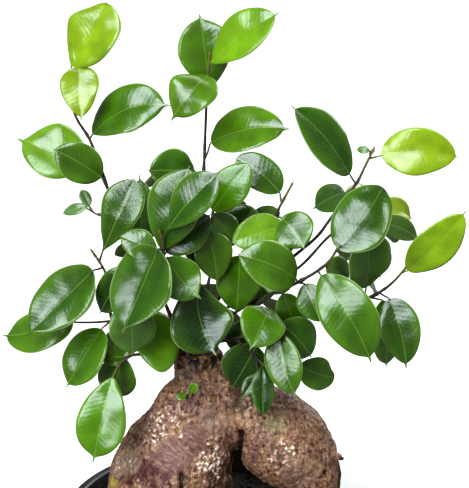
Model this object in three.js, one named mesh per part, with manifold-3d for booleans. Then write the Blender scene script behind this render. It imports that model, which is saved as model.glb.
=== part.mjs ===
// Ficus ginseng bonsai: a swollen, forked root trunk with grafted leafy shoots, standing in soil in a
// plain round pot. Millimetres, +Z up, origin at the middle of the pot's underside, front towards -Y.
import * as THREE from "three";
import { mergeVertices } from "three/addons/utils/BufferGeometryUtils.js";
import Module from "manifold-3d";

const wasm = await Module();
wasm.setup();

const vec = (x, y, z) => new THREE.Vector3(x, y, z);
const radians = THREE.MathUtils.degToRad;

// Driving dimensions of the pot and the soil
const pot = { height: 93, rimRadius: 91.5, rimHeight: 9, rimStep: 2.5, wall: 5, footRadius: 66, floor: 8 };
const edges = { rounding: 1.5, footRounding: 2, sides: 32 };
const drain = { count: 4, radius: 5, ring: 36, channelWidth: 6, channelDepth: 2.5 };
const soil = { top: 80, edgeDrop: 3, crumb: 0.7, wallGap: 0.65, rings: [72, 54, 36, 18] };
const fitGap = 0.35;

// Driving dimensions of the trunk: where its neck ends, and the two feet that stand in the soil
const neck = { x: -5, top: 203, radius: 14.5 };
const foot = { bottom: 68, level: 83 };
const leg = { steps: 14, sides: 18 };
const cleftSize = { angle: radians(80), wide: 0.16, deep: 0.2, top: 124 };
const leftFoot = { x: -30, across: 33, deep: 26 };
const rightFoot = { x: 61, across: 14, deep: 13 };

// The trunk's two legs from the neck's top down: [x, z, half width, half depth] of each section
const leftLeg = [
  [neck.x, neck.top, neck.radius, neck.radius],
  [neck.x, 192, 15, 14.5],
  [-4, 180, 18.5, 18],
  [-7, 166, 24.5, 22],
  [-10, 150, 29.5, 28],
  [-15, 134, 35, 34],
  [-21, 118, 39, 37],
  [-25, 106, 40.5, 36],
  [-29, 95, 37, 31],
];
const rightLeg = [
  [neck.x + 2, neck.top - 6, 11, 11],
  [6, 184, 13, 14],
  [16, 172, 17, 19],
  [28, 160, 23, 24],
  [40, 149, 28, 28],
  [51, 139, 28.5, 29],
  [61, 127, 24, 25],
  [67, 113, 18.5, 19],
  [64, 97, 15, 15],
];

// The stub of a cut root on the right leg's outer side
const knob = {
  radius: 4.5,
  endRadius: 1,
  line: [vec(74, -8, 137), vec(81, -9.5, 135.5), vec(86.5, -10, 133.5)],
};

// Sockets in the neck's top, in which the grafted shoots stand
const socket = { radius: 2.35, depth: 8, outerRing: 10.6, innerRing: 4.4 };
const shootRadius = socket.radius - 1.6 * fitGap;

// The small sprout on the front of the neck
const sprout = {
  radius: 0.9,
  pitRadius: 1.5,
  twig: [vec(-11, -14, 177), vec(-11.3, -19, 179), vec(-12, -23.5, 181.5)],
  leaves: [
    { base: [-27, -89, 24.5], tip: [-22, -84, 27], wide: 4.6 },
    { base: [-29, -90, 24.5], tip: [-35, -93, 28], wide: 4.2 },
  ],
};

// Driving dimensions of the leaves and twigs
const blade = { thickness: 0.7, fold: 13, arch: 0.07, belly: 0.48, drip: 0.88, end: 0.94 };
const bladeStations = [0, 0.12, 0.36, 0.64, 0.87];
const petiole = { halfWidth: 0.8, halfThickness: 0.6, sweep: 0.4 };
const twigRadius = { end: 1, branch: 1.2, branchEnd: 0.9, sides: 5, samples: 60 };

// How far a leaf's upper face is turned outward and up to the light, next to its turn to the viewer
const facing = { outward: 0.35, sky: 0.35, skyBehind: 0.7, leastTurn: 0.55 };

// The front view on which the shoots are laid out: an eye this far from the canopy's middle
const eye = { elevation: 17, distance: 750, target: new THREE.Vector3(17.7, 0, 271) };

const leafGreen = new THREE.MeshStandardMaterial({ color: 0x3f7a1c, roughness: 0.3, metalness: 0 });
const barkBrown = new THREE.MeshStandardMaterial({ color: 0x8a6a55, roughness: 0.7, metalness: 0 });
const soilDark = new THREE.MeshStandardMaterial({ color: 0x2a211b, roughness: 0.95, metalness: 0 });
const potBlack = new THREE.MeshStandardMaterial({ color: 0x14151c, roughness: 0.3, metalness: 0 });

const sky = vec(0, 0, 1);
const viewUp = vec(0, Math.sin(radians(eye.elevation)), Math.cos(radians(eye.elevation)));
const toEye = vec(0, -Math.cos(radians(eye.elevation)), Math.sin(radians(eye.elevation)));
const eyePoint = eye.target.clone().addScaledVector(toEye, eye.distance);

// A place on the front view, [right, up, front], as a point of the part: right and up are read on a
// picture plane through the canopy's middle, and front is how far the point lies before the trunk
function place([right, up, front]) {
  const onPlane = eye.target.clone().addScaledVector(viewUp, up);
  onPlane.x += right;
  const along = (-front - eyePoint.y) / (onPlane.y - eyePoint.y);
  return eyePoint.clone().lerp(onPlane, along);
}

// A closed solid through rings of points, each anticlockwise as seen from the far end. The last ring
// may be one point. Faces between columns in crossed are split along their other diagonal.
function loft(rings, crossed = []) {
  const count = rings[0].length;
  const points = rings.flat();
  const faces = [];
  for (let column = 1; column < count - 1; column++) faces.push([0, column + 1, column]);
  for (let row = 0; row < rings.length - 1; row++) {
    for (let column = 0; column < count; column++) {
      const next = (column + 1) % count;
      const a = row * count + column;
      const b = row * count + next;
      if (rings[row + 1].length === 1) {
        faces.push([a, b, points.length - 1]);
        continue;
      }
      const c = b + count;
      const d = a + count;
      if (crossed.includes(column)) faces.push([a, b, d], [b, c, d]);
      else faces.push([a, b, c], [a, c, d]);
    }
  }
  if (rings.at(-1).length > 1) {
    const first = points.length - count;
    for (let column = 1; column < count - 1; column++) {
      faces.push([first, first + column, first + column + 1]);
    }
  }
  const vertProperties = new Float32Array(points.flatMap((point) => point.toArray()));
  const triVerts = new Uint32Array(faces.flat());
  return new wasm.Manifold(new wasm.Mesh({ numProp: 3, vertProperties, triVerts }));
}

// A three.js geometry with closed faces as a solid
function solidOf(geometry) {
  geometry.deleteAttribute("normal");
  geometry.deleteAttribute("uv");
  const merged = mergeVertices(geometry, 1e-4);
  const vertProperties = new Float32Array(merged.attributes.position.array);
  const triVerts = new Uint32Array(merged.index.array);
  return new wasm.Manifold(new wasm.Mesh({ numProp: 3, vertProperties, triVerts }));
}

// A named mesh of a solid
function meshOf(name, solid, material) {
  const { vertProperties, triVerts } = solid.getMesh();
  const geometry = new THREE.BufferGeometry();
  geometry.setAttribute("position", new THREE.BufferAttribute(vertProperties, 3));
  geometry.setIndex(new THREE.BufferAttribute(triVerts, 1));
  geometry.computeVertexNormals();
  const mesh = new THREE.Mesh(geometry, material);
  mesh.name = name;
  return mesh;
}

const joined = (solids) => solids.reduce((sum, solid) => sum.add(solid));

// The main body of a solid, with what it seals off filled and loose scraps dropped
const largest = (solid) => solid.decompose().sort((a, b) => b.volume() - a.volume())[0];

// An elliptical ring about a centre, in the plane of two unit axes
function ellipseRing(centre, across, deep, acrossAxis, deepAxis, sides, swell = () => 1) {
  return Array.from({ length: sides }, (_, side) => {
    const angle = (side * 2 * Math.PI) / sides;
    const size = swell(angle);
    return centre
      .clone()
      .addScaledVector(acrossAxis, across * size * Math.cos(angle))
      .addScaledVector(deepAxis, deep * size * Math.sin(angle));
  });
}

// An upright cylinder or elliptical post
function post(x, y, bottom, top, across, deep = across, sides = 12) {
  const ring = (z) => ellipseRing(vec(x, y, z), across, deep, vec(1, 0, 0), vec(0, 1, 0), sides);
  return loft([ring(bottom), ring(top)]);
}

// A tapering round twig along a smooth curve through the points
function twig(points, startRadius, endRadius, sides) {
  const curve = new THREE.CatmullRomCurve3(points, false, "centripetal");
  const steps = points.length - 1;
  let across = new THREE.Vector3();
  const rings = points.map((centre, step) => {
    const along = step / steps;
    const tangent = curve.getTangent(along);
    if (step === 0) across.crossVectors(tangent, Math.abs(tangent.y) > 0.9 ? sky : vec(0, 1, 0));
    across.addScaledVector(tangent, -across.dot(tangent)).normalize();
    const radius = THREE.MathUtils.lerp(startRadius, endRadius, along);
    return ellipseRing(centre, radius, radius, across, tangent.clone().cross(across), sides);
  });
  return loft(rings);
}

// Half the blade's width at a station from 0 at its base to 1 at its tip, as a share of the widest
function bladeShape(along, belly) {
  const stretch = Math.pow(Math.min(1, along / blade.end), Math.log(0.5) / Math.log(belly));
  const body = Math.pow(Math.sin(Math.PI * stretch), 0.65);
  const drip = (0.16 * (1 - along)) / (1 - blade.drip);
  return along > blade.drip ? Math.max(body, drip) : body;
}

// The six corners of a leaf's section: left, rib and right above, then right, rib and left below
function leafSection(centre, tangent, face, halfWidth, halfThickness, rise) {
  const right = tangent.clone().cross(face).normalize();
  const up = right.clone().cross(tangent).normalize();
  const corner = (side, lift) =>
    centre
      .clone()
      .addScaledVector(right, side * halfWidth)
      .addScaledVector(up, lift * halfThickness + Math.abs(side) * rise);
  return [corner(-1, 1), corner(0, 1), corner(1, 1), corner(1, -1), corner(0, -1), corner(-1, -1)];
}

// The way that a leaf's upper face looks: outward from the trunk and up to the light, and for the
// leaves of the front view, mostly towards the eye
function leafFace(base, tip, axis, behind) {
  const middle = base.clone().add(tip).multiplyScalar(0.5);
  const outward = vec(middle.x - neck.x, middle.y, 0).divideScalar(100);
  const looks = behind
    ? outward.addScaledVector(sky, facing.skyBehind)
    : outward.multiplyScalar(facing.outward).addScaledVector(sky, facing.sky).add(toEye);
  return looks.addScaledVector(axis, -looks.dot(axis)).normalize();
}

// One leaf, petiole and blade in one strip, from inside the twig that carries it
function leafSolid(leaf, origin, behind) {
  const base = place(leaf.base);
  const tip = place(leaf.tip);
  const axis = tip.clone().sub(base);
  const length = axis.length();
  axis.normalize();
  const face = leafFace(base, tip, axis, behind);
  if (leaf.roll) face.applyAxisAngle(axis, radians(leaf.roll));
  const flat = toEye.clone().addScaledVector(axis, -toEye.dot(axis)).normalize();
  const turned = behind ? 1 : Math.max(facing.leastTurn, Math.abs(flat.dot(face)));
  const halfWidth = (leaf.wide / 2 / turned) * (base.distanceTo(eyePoint) / eye.distance);
  const side = axis.clone().cross(face);
  const arch = (leaf.arch ?? blade.arch) * length;
  const bend = (leaf.bend ?? 0) * length;
  const rise = Math.tan(radians(leaf.fold ?? blade.fold));
  const bow = (along) => 4 * along * (1 - along);
  const middle = (along) =>
    base
      .clone()
      .addScaledVector(axis, along * length)
      .addScaledVector(face, arch * bow(along))
      .addScaledVector(side, bend * bow(along));
  const heading = (along) => middle(along + 0.01).sub(middle(along)).normalize();

  const leaving = base.clone().sub(origin).normalize();
  const { halfWidth: slim, halfThickness: thick } = petiole;
  const rings = [leafSection(origin, leaving, face, slim, thick, 0)];
  for (const along of bladeStations) {
    const wide = Math.max(slim, halfWidth * bladeShape(along, leaf.belly ?? blade.belly));
    const deep = along === 0 ? thick : blade.thickness / 2;
    const lift = along === 0 ? 0 : wide * rise;
    rings.push(leafSection(middle(along), heading(along), face, wide, deep, lift));
  }
  rings.push([middle(1)]);
  return loft(rings, [3, 4]);
}

// Where on its shoot a leaf starts: the nearest point of the twigs, a little back towards their roots
function leafOrigin(base, curves) {
  let nearest = { gap: Infinity };
  for (const curve of curves) {
    const length = curve.getLength();
    for (let step = 0; step <= twigRadius.samples; step++) {
      const along = step / twigRadius.samples;
      const gap = curve.getPointAt(along).distanceTo(base);
      if (gap < nearest.gap) nearest = { gap, curve, length, along };
    }
  }
  const back = Math.min(nearest.along, (petiole.sweep * nearest.gap) / nearest.length);
  return nearest.curve.getPointAt(Math.min(0.985, nearest.along - back));
}

// The first points of a shoot, in its socket and just above the neck
function socketPoints({ ring, angle }) {
  const away = vec(Math.cos(radians(angle)), Math.sin(radians(angle)), 0);
  const at = (reach, z) => vec(neck.x, 0, z).addScaledVector(away, reach);
  return [
    at(ring, neck.top - socket.depth + fitGap),
    at(ring, neck.top - 2),
    at(ring + 0.4, neck.top + 2),
    at(ring + 3, neck.top + 8),
  ];
}

// One leafy shoot: its main twig, side twigs and leaves, fused into one solid
function shootSolid(shoot) {
  const main = [...socketPoints(shoot), ...shoot.twig.map(place)];
  const branches = (shoot.branches ?? []).map((points) => points.map(place));
  const curves = [main, ...branches].map(
    (points) => new THREE.CatmullRomCurve3(points, false, "centripetal"),
  );
  const { end, branch, branchEnd, sides } = twigRadius;
  const solids = [twig(main, shootRadius, end, sides)];
  for (const points of branches) solids.push(twig(points, branch, branchEnd, sides));
  for (const leaf of shoot.leaves) {
    const origin = leafOrigin(place(leaf.base), curves);
    solids.push(leafSolid(leaf, origin, leaf.behind ?? shoot.behind));
  }
  return largest(joined(solids));
}

const { outerRing, innerRing } = socket;

// The shoots. Twig points and leaf bases and tips are places on the front view; wide is the blade's
// width as seen there. Roll turns a blade about its midrib, bend bows the midrib sideways.
const shoots = {
  shoot_top_left: {
    ring: outerRing,
    angle: 160,
    twig: [
      [-44, -44, -6],
      [-58, -20, -12],
      [-67, 6, -16],
      [-76, 33, -21],
      [-87, 63, -26],
      [-94, 74, -28],
      [-97, 82, -29],
      [-99, 102, -31],
      [-100, 113, -31],
    ],
    branches: [
      [
        [-72, 20, -18],
        [-80, 17, -21],
        [-88, 21, -24],
      ],
    ],
    leaves: [
      { base: [-88, 49, -34], tip: [-130, 64, -42], wide: 33 },
      { base: [-80, 40, -18], tip: [-109, 57, -14], wide: 24, bend: 0.07 },
      { base: [-85, 66, -26], tip: [-38, 84, -20], wide: 26, bend: -0.1 },
      { base: [-93, 105, -29], tip: [-92, 75, -12], wide: 22 },
      { base: [-92, 106, -32], tip: [-74, 145, -38], wide: 32, bend: 0.08 },
      { base: [-88, 21, -24], tip: [-103, 15, -30], wide: 6 },
      { base: [-87, 23, -24], tip: [-92, 32, -30], wide: 5 },
      { base: [-55, -2, -6], tip: [-57, 42, -8], wide: 20 },
      { base: [-66, 2, -18], tip: [-68, -12, -48], wide: 26, behind: true },
      { base: [-57, -24, -13], tip: [-75, -35, -41], wide: 26, behind: true },
    ],
  },
  shoot_top_centre: {
    ring: innerRing,
    angle: 120,
    twig: [
      [-25, -46, -8],
      [-24, -20, -14],
      [-22, 10, -20],
      [-20, 43, -23],
      [-18, 80, -26],
      [-16, 100, -28],
      [-15, 113, -28],
    ],
    leaves: [
      { base: [-15, 94, -36], tip: [-21, 137, -46], wide: 28 },
      { base: [-14, 109, -28], tip: [26, 139, -20], wide: 25, bend: -0.04 },
      { base: [-16, 101, -24], tip: [-38, 75, -8], wide: 25, arch: 0.25, bend: -0.06 },
      { base: [-14, 61, -22], tip: [32, 70, -14], wide: 26, bend: -0.08 },
      { base: [-24, 44, -16], tip: [-52, 44, -4], wide: 26, roll: -14 },
      { base: [-22, 14, -26], tip: [-44, 1, -42], wide: 27, behind: true },
      { base: [-19, 26, -28], tip: [7, 22, -48], wide: 27, behind: true },
      { base: [-21, 34, -30], tip: [-46, 27, -52], wide: 24, behind: true },
      { base: [-17, 42, -28], tip: [2, 31, -62], wide: 22, behind: true },
    ],
  },
  shoot_front_left: {
    ring: outerRing,
    angle: 245,
    twig: [
      [-33, -54, 26],
      [-40, -40, 34],
      [-44, -22, 38],
      [-43, -8, 40],
      [-43, 2, 41],
      [-45, 7, 42],
    ],
    leaves: [
      { base: [-44, -3, 38], tip: [-26, 47, 33], wide: 29, bend: 0.05 },
      { base: [-40, 9, 44], tip: [-10, 42, 50], wide: 24 },
      { base: [-41, -5, 36], tip: [-14, 18, 24], wide: 22, roll: 10 },
      { base: [-46, -3, 44], tip: [-67, -53, 60], wide: 38 },
      { base: [-40, -8, 38], tip: [-20, -33, 44], wide: 27, bend: 0.07 },
      { base: [-47, -5, 34], tip: [-69, 5, 30], wide: 17 },
    ],
  },
  shoot_front: {
    ring: outerRing,
    angle: 272,
    twig: [
      [-22, -54, 20],
      [-22, -40, 25],
      [-22, -28, 28],
      [-22, -19, 29],
    ],
    branches: [
      [
        [-22, -36, 26],
        [-36, -30, 29],
        [-50, -24, 29],
        [-62, -20, 28],
      ],
    ],
    leaves: [
      { base: [-22, -22, 31], tip: [-11, -67, 43], wide: 37, bend: 0.04 },
      { base: [-62, -34, 34], tip: [-61, -67, 34], wide: 28 },
      { base: [-64, -14, 28], tip: [-81, -42, 22], wide: 20 },
    ],
  },
  shoot_lower_left: {
    ring: outerRing,
    angle: 218,
    twig: [
      [-40, -62, 11],
      [-52, -66, 14],
      [-62, -67, 17],
      [-70, -74, 20],
      [-73, -80, 23],
    ],
    leaves: [
      { base: [-73, -80, 24], tip: [-85, -130, 38], wide: 29, belly: 0.56 },
      { base: [-67, -69, 15], tip: [-73, -93, 4], wide: 25 },
      { base: [-70, -73, 16], tip: [-72, -49, -10], wide: 24 },
      { base: [-34, -57, 11], tip: [-60, -65, 20], wide: 30 },
    ],
  },
  shoot_left: {
    ring: outerRing,
    angle: 190,
    twig: [
      [-40, -57, 2],
      [-58, -53, 4],
      [-72, -46, 8],
      [-76, -34, 12],
      [-76, -22, 15],
      [-79, -14, 17],
      [-85, -5, 18],
    ],
    branches: [
      [
        [-72, -46, 8],
        [-84, -47, 6],
        [-96, -47, 3],
      ],
    ],
    leaves: [
      { base: [-85, -16, 24], tip: [-125, -55, 40], wide: 31 },
      { base: [-79, -4, 20], tip: [-60, 38, 18], wide: 22, bend: 0.08 },
      { base: [-97, -47, 3], tip: [-139, -55, -6], wide: 22 },
      { base: [-80, -51, 13], tip: [-102, -86, 22], wide: 25 },
      { base: [-60, -50, -2], tip: [-58, -30, -29], wide: 25, behind: true },
    ],
  },
  shoot_inner: {
    ring: innerRing,
    angle: 210,
    twig: [
      [-28, -46, 10],
      [-24, -24, 13],
      [-19, -6, 15],
      [-14, 10, 16],
      [-13, 19, 16],
    ],
    branches: [
      [
        [-20, -8, 15],
        [-6, -10, 14],
        [6, -11, 14],
      ],
    ],
    leaves: [
      { base: [-13, 20, 17], tip: [10, 50, 12], wide: 20 },
      { base: [-15, 6, 22], tip: [-11, -24, 26], wide: 21 },
      { base: [-13, 18, 14], tip: [1, -1, 12], wide: 18 },
      { base: [7, -13, 16], tip: [5, -41, 25], wide: 20 },
      { base: [-23, -12, 11], tip: [-24, 18, 0], wide: 18 },
    ],
  },
  shoot_centre: {
    ring: innerRing,
    angle: 300,
    twig: [
      [-14, -42, 6],
      [-4, -24, 5],
      [10, -3, 4],
      [22, 12, 5],
      [27, 22, 7],
      [34, 35, 9],
    ],
    leaves: [
      { base: [27, 31, 4], tip: [0, 51, -6], wide: 22 },
      { base: [28, 18, 12], tip: [41, -2, 27], wide: 24 },
      { base: [30, 11, 14], tip: [-2, 1, 24], wide: 22 },
      { base: [16, 12, 3], tip: [-10, 18, -4], wide: 18 },
      { base: [27, 19, 2], tip: [9, 12, -12], wide: 14 },
      { base: [22, 12, 2], tip: [31, -9, 8], wide: 20 },
    ],
  },
  shoot_right_up: {
    ring: innerRing,
    angle: 20,
    twig: [
      [-8, -42, -6],
      [12, -26, -6],
      [36, -7, -2],
      [50, 5, 2],
      [56, 13, 4],
      [66, 27, 6],
      [73, 36, 8],
      [79, 48, 8],
      [86, 60, 8],
    ],
    branches: [
      [
        [58, 16, 4],
        [72, 18, 0],
        [86, 17, -2],
      ],
    ],
    leaves: [
      { base: [69, 42, 6], tip: [34, 82, 12], wide: 23 },
      { base: [88, 53, 8], tip: [134, 52, 12], wide: 28 },
      { base: [66, 31, -2], tip: [47, 22, -14], wide: 15 },
      { base: [89, 20, -4], tip: [106, 16, -14], wide: 14 },
      { base: [87, 13, 0], tip: [109, 3, -4], wide: 13 },
      { base: [81, 56, 8], tip: [73, 57, 5], wide: 5 },
      { base: [68, 20, -4], tip: [81, -9, -24], wide: 25, behind: true },
      { base: [72, 32, 3], tip: [88, 12, -29], wide: 27, behind: true },
    ],
  },
  shoot_right_front: {
    ring: outerRing,
    angle: 332,
    twig: [
      [-4, -54, 10],
      [8, -44, 15],
      [18, -32, 21],
      [30, -27, 25],
      [38, -23, 28],
      [50, -16, 33],
      [57, -10, 36],
      [61, -4, 38],
    ],
    leaves: [
      { base: [37, -21, 33], tip: [1, -6, 44], wide: 28, arch: 0.12 },
      { base: [52, -19, 37], tip: [82, -70, 52], wide: 30 },
      { base: [62, -3, 40], tip: [89, 34, 44], wide: 34 },
      { base: [42, -24, 26], tip: [52, -47, 34], wide: 18 },
      { base: [29, -30, 22], tip: [37, -52, 14], wide: 18 },
      { base: [5, -46, 13], tip: [1, -66, 9], wide: 18 },
      { base: [33, -27, 22], tip: [16, -20, 14], wide: 14 },
      { base: [57, -12, 32], tip: [70, -23, 14], wide: 16 },
    ],
  },
  shoot_right_low: {
    ring: outerRing,
    angle: 300,
    twig: [
      [-12, -59, 16],
      [0, -57, 22],
      [14, -52, 27],
      [26, -49, 30],
    ],
    branches: [
      [
        [0, -57, 22],
        [10, -65, 22],
        [17, -72, 24],
      ],
      [
        [20, -51, 28],
        [30, -62, 20],
        [38, -72, 16],
      ],
    ],
    leaves: [
      { base: [21, -39, 28], tip: [9, -64, 48], wide: 28, arch: 0.14 },
      { base: [27, -54, 34], tip: [37, -92, 44], wide: 22, bend: 0.05 },
      { base: [28, -48, 28], tip: [46, -68, 26], wide: 23 },
      { base: [39, -73, 16], tip: [59, -79, 6], wide: 20 },
      { base: [13, -61, 20], tip: [-2, -87, 24], wide: 29 },
      { base: [17, -74, 25], tip: [17, -102, 36], wide: 14 },
      { base: [14, -78, 27], tip: [5, -92, 32], wide: 9 },
    ],
  },
  shoot_right_far: {
    ring: outerRing,
    angle: 5,
    twig: [
      [0, -52, 0],
      [22, -45, 2],
      [44, -40, 5],
      [66, -36, 8],
      [81, -32, 10],
      [90, -27, 11],
      [96, -22, 12],
      [103, -14, 13],
    ],
    leaves: [
      { base: [79, -26, 12], tip: [79, 11, 18], wide: 28, bend: -0.04 },
      { base: [104, -16, 14], tip: [138, 19, 22], wide: 23 },
      { base: [93, -31, 14], tip: [102, -73, 28], wide: 24 },
      { base: [89, -34, 7], tip: [90, -71, 0], wide: 16 },
      { base: [85, -30, 8], tip: [68, -8, -21], wide: 25, behind: true },
      { base: [60, -38, 5], tip: [73, -58, -23], wide: 27, behind: true },
    ],
  },
  shoot_back_left: {
    ring: outerRing,
    angle: 125,
    behind: true,
    twig: [
      [-36, -46, -16],
      [-46, -24, -34],
      [-52, 0, -48],
      [-56, 22, -58],
      [-58, 34, -62],
    ],
    leaves: [
      { base: [-42, -32, -32], tip: [-70, -46, -60], wide: 31 },
      { base: [-46, -18, -40], tip: [-40, -34, -74], wide: 27 },
      { base: [-54, 0, -46], tip: [-82, 19, -70], wide: 30 },
      { base: [-52, 12, -54], tip: [-31, 33, -85], wide: 30 },
      { base: [-57, 22, -60], tip: [-68, 3, -98], wide: 28 },
      { base: [-57, 34, -64], tip: [-39, 39, -104], wide: 26 },
    ],
  },
  shoot_back: {
    ring: outerRing,
    angle: 85,
    behind: true,
    twig: [
      [-20, -44, -22],
      [-15, -20, -44],
      [-11, 4, -60],
      [-9, 22, -70],
    ],
    leaves: [
      { base: [-16, -24, -42], tip: [-22, -40, -80], wide: 27 },
      { base: [-13, -14, -50], tip: [19, -23, -78], wide: 32 },
      { base: [-14, 0, -58], tip: [-34, 3, -98], wide: 28 },
      { base: [-9, 10, -64], tip: [20, 15, -95], wide: 30 },
      { base: [-10, 22, -72], tip: [-17, 31, -114], wide: 27 },
      { base: [-8, 19, -70], tip: [13, 8, -108], wide: 26 },
      { base: [-17, -36, -32], tip: [-2, -60, -65], wide: 30 },
    ],
  },
  shoot_back_right: {
    ring: outerRing,
    angle: 42,
    behind: true,
    twig: [
      [-6, -46, -16],
      [14, -32, -30],
      [41, -12, -40],
      [55, 3, -46],
      [66, 12, -52],
      [76, 18, -56],
    ],
    leaves: [
      { base: [66, 14, -54], tip: [87, 33, -85], wide: 27 },
      { base: [60, 6, -50], tip: [88, -20, -71], wide: 30 },
      { base: [76, 18, -58], tip: [95, 1, -98], wide: 26 },
      { base: [66, 10, -56], tip: [64, -9, -98], wide: 27 },
      { base: [18, -32, -34], tip: [39, -51, -65], wide: 30 },
      { base: [28, -20, -36], tip: [7, -6, -67], wide: 28 },
      { base: [8, -38, -28], tip: [27, -10, -52], wide: 28 },
    ],
  },
};

// One leg of the trunk, down into the soil. Low swellings and folds run over it, and fade out at the
// plain foot.
function legSolid(sections, base, lumps) {
  const smooth = (points) => new THREE.CatmullRomCurve3(points, false, "centripetal");
  const line = smooth(sections.map(([x, z]) => vec(x, 0, z)));
  const sizes = smooth(sections.map(([, z, across, deep]) => vec(across, deep, z)));
  const deepAxis = vec(0, -1, 0);
  const rings = [];
  for (let step = 0; step <= leg.steps; step++) {
    const along = step / leg.steps;
    const centre = line.getPoint(along);
    const size = sizes.getPoint(along);
    const acrossAxis = deepAxis.clone().cross(line.getTangent(along)).normalize();
    const strength = THREE.MathUtils.smoothstep(centre.z, foot.level, foot.level + 12);
    const swell = (angle) => 1 + strength * lumps(angle, centre.z);
    rings.push(ellipseRing(centre, size.x, size.y, acrossAxis, deepAxis, leg.sides, swell));
  }
  for (const z of [foot.level, foot.bottom]) {
    const centre = vec(base.x, 0, z);
    rings.push(ellipseRing(centre, base.across, base.deep, vec(1, 0, 0), deepAxis, leg.sides));
  }
  return loft(rings);
}

// Swellings of the left leg, with the cleft in its front where it splits into two roots
function leftLumps(angle, z) {
  const cleft = cleftSize.deep * Math.exp(-Math.pow((angle - cleftSize.angle) / cleftSize.wide, 2));
  const lumps = 0.03 * Math.sin(3 * angle + z / 13) + 0.015 * Math.sin(7 * angle - z / 9);
  return lumps - cleft * (1 - THREE.MathUtils.smoothstep(z, cleftSize.top - 14, cleftSize.top));
}

const rightLumps = (angle, z) => 0.03 * Math.sin(4 * angle + z / 12) + 0.015 * Math.sin(9 * angle);

// The swollen root trunk: the neck runs down into a broad left leg and a bulb on the right
function trunkSolid() {
  const holes = Object.values(shoots).map((shoot) => {
    const [bottom] = socketPoints(shoot);
    const floor = neck.top - socket.depth;
    return post(bottom.x, bottom.y, floor, neck.top + 5, socket.radius, socket.radius, 8);
  });
  const [inside, outside] = sprout.twig;
  const pitEnd = inside.clone().lerp(outside, -0.1);
  const pit = twig([pitEnd, outside], sprout.pitRadius, sprout.pitRadius, 6);
  return legSolid(leftLeg, leftFoot, leftLumps)
    .add(legSolid(rightLeg, rightFoot, rightLumps))
    .add(twig(knob.line, knob.radius, knob.endRadius, 7))
    .subtract(joined([...holes, pit]));
}

// The small sprout low on the neck, with two young leaves
function sproutSolid() {
  const { radius, twig: stem, leaves } = sprout;
  const curve = new THREE.CatmullRomCurve3(stem, false, "centripetal");
  const solids = [twig(stem, radius, 0.8 * radius, twigRadius.sides)];
  for (const leaf of leaves) solids.push(leafSolid(leaf, leafOrigin(place(leaf.base), [curve]), false));
  return joined(solids);
}

// The pot's inner radius at a height
function innerRadius(z) {
  const bottom = pot.footRadius - pot.wall + 1;
  const top = pot.rimRadius - pot.wall - 1;
  return THREE.MathUtils.mapLinear(z, pot.floor, pot.height - edges.rounding, bottom, top);
}

// The plain pot: a flat-based tapering wall with a straight rim band, drain holes in the floor, and
// channels under it that let the water out
function potSolid() {
  const { height, rimRadius, rimHeight, rimStep, wall, footRadius, floor } = pot;
  const { rounding, footRounding, sides } = edges;
  const shoulder = height - rimHeight;
  const profile = [
    [0, 0],
    [footRadius - footRounding, 0],
    [footRadius, footRounding],
    [rimRadius - rimStep, shoulder],
    [rimRadius, shoulder + 1],
    [rimRadius, height - rounding],
    [rimRadius - rounding, height],
    [rimRadius - wall, height],
    [innerRadius(height - rounding), height - rounding],
    [innerRadius(floor), floor],
    [0, floor],
  ];
  const points = profile.map(([radius, z]) => new THREE.Vector2(radius, z));
  const lathe = new THREE.LatheGeometry(points, sides);
  lathe.rotateX(Math.PI / 2);
  const cuts = [];
  for (let index = 0; index < drain.count; index++) {
    const turn = ((index + 0.5) * 2 * Math.PI) / drain.count;
    const [x, y] = [drain.ring * Math.cos(turn), drain.ring * Math.sin(turn)];
    cuts.push(post(x, y, -1, floor + 1, drain.radius));
    const channel = new THREE.BoxGeometry(footRadius, drain.channelWidth, 2 * drain.channelDepth);
    channel.translate(drain.ring + footRadius / 2, 0, 0);
    channel.rotateZ(turn);
    cuts.push(solidOf(channel));
  }
  return solidOf(lathe).subtract(joined(cuts));
}

// The soil: it fills the pot to a little below the rim, with an uneven crumbly top and a plain hole
// for each foot of the trunk
function soilSolid() {
  const inner = (z) => innerRadius(z) - soil.wallGap;
  const waves = (radius, turn) =>
    Math.sin(5 * turn + radius / 6) + Math.sin(radius / 4 - 3 * turn) * Math.cos(2 * turn);
  const ring = (radius, z) =>
    Array.from({ length: edges.sides }, (_, side) => {
      const turn = (side * 2 * Math.PI) / edges.sides;
      const level = z ?? soil.top + soil.crumb * waves(radius, turn);
      return vec(radius * Math.cos(turn), radius * Math.sin(turn), level);
    });
  const bottom = pot.floor + fitGap;
  const edge = soil.top - soil.edgeDrop;
  const rings = [ring(inner(bottom), bottom), ring(inner(edge), edge)];
  for (const radius of soil.rings) rings.push(ring(radius));
  rings.push([vec(0, 0, soil.top)]);
  const hole = ({ x, across, deep }) =>
    post(x, 0, foot.bottom - fitGap, soil.top + 6, across + fitGap, deep + fitGap, leg.sides);
  return loft(rings).subtract(joined([hole(leftFoot), hole(rightFoot)]));
}

const plant = new THREE.Group();
plant.add(meshOf("pot", potSolid(), potBlack));
plant.add(meshOf("soil", soilSolid(), soilDark));
plant.add(meshOf("root_trunk", trunkSolid(), barkBrown));
plant.add(meshOf("trunk_sprout", sproutSolid(), leafGreen));
for (const [name, shoot] of Object.entries(shoots)) {
  plant.add(meshOf(name, shootSolid(shoot), leafGreen));
}

export default plant;
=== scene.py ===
import bpy
import bmesh
import random
from math import cos, exp, hypot, log, pi, radians, sin, sqrt, tan
from mathutils import Euler, Matrix, Quaternion, Vector, kdtree
from mathutils.noise import noise


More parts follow.
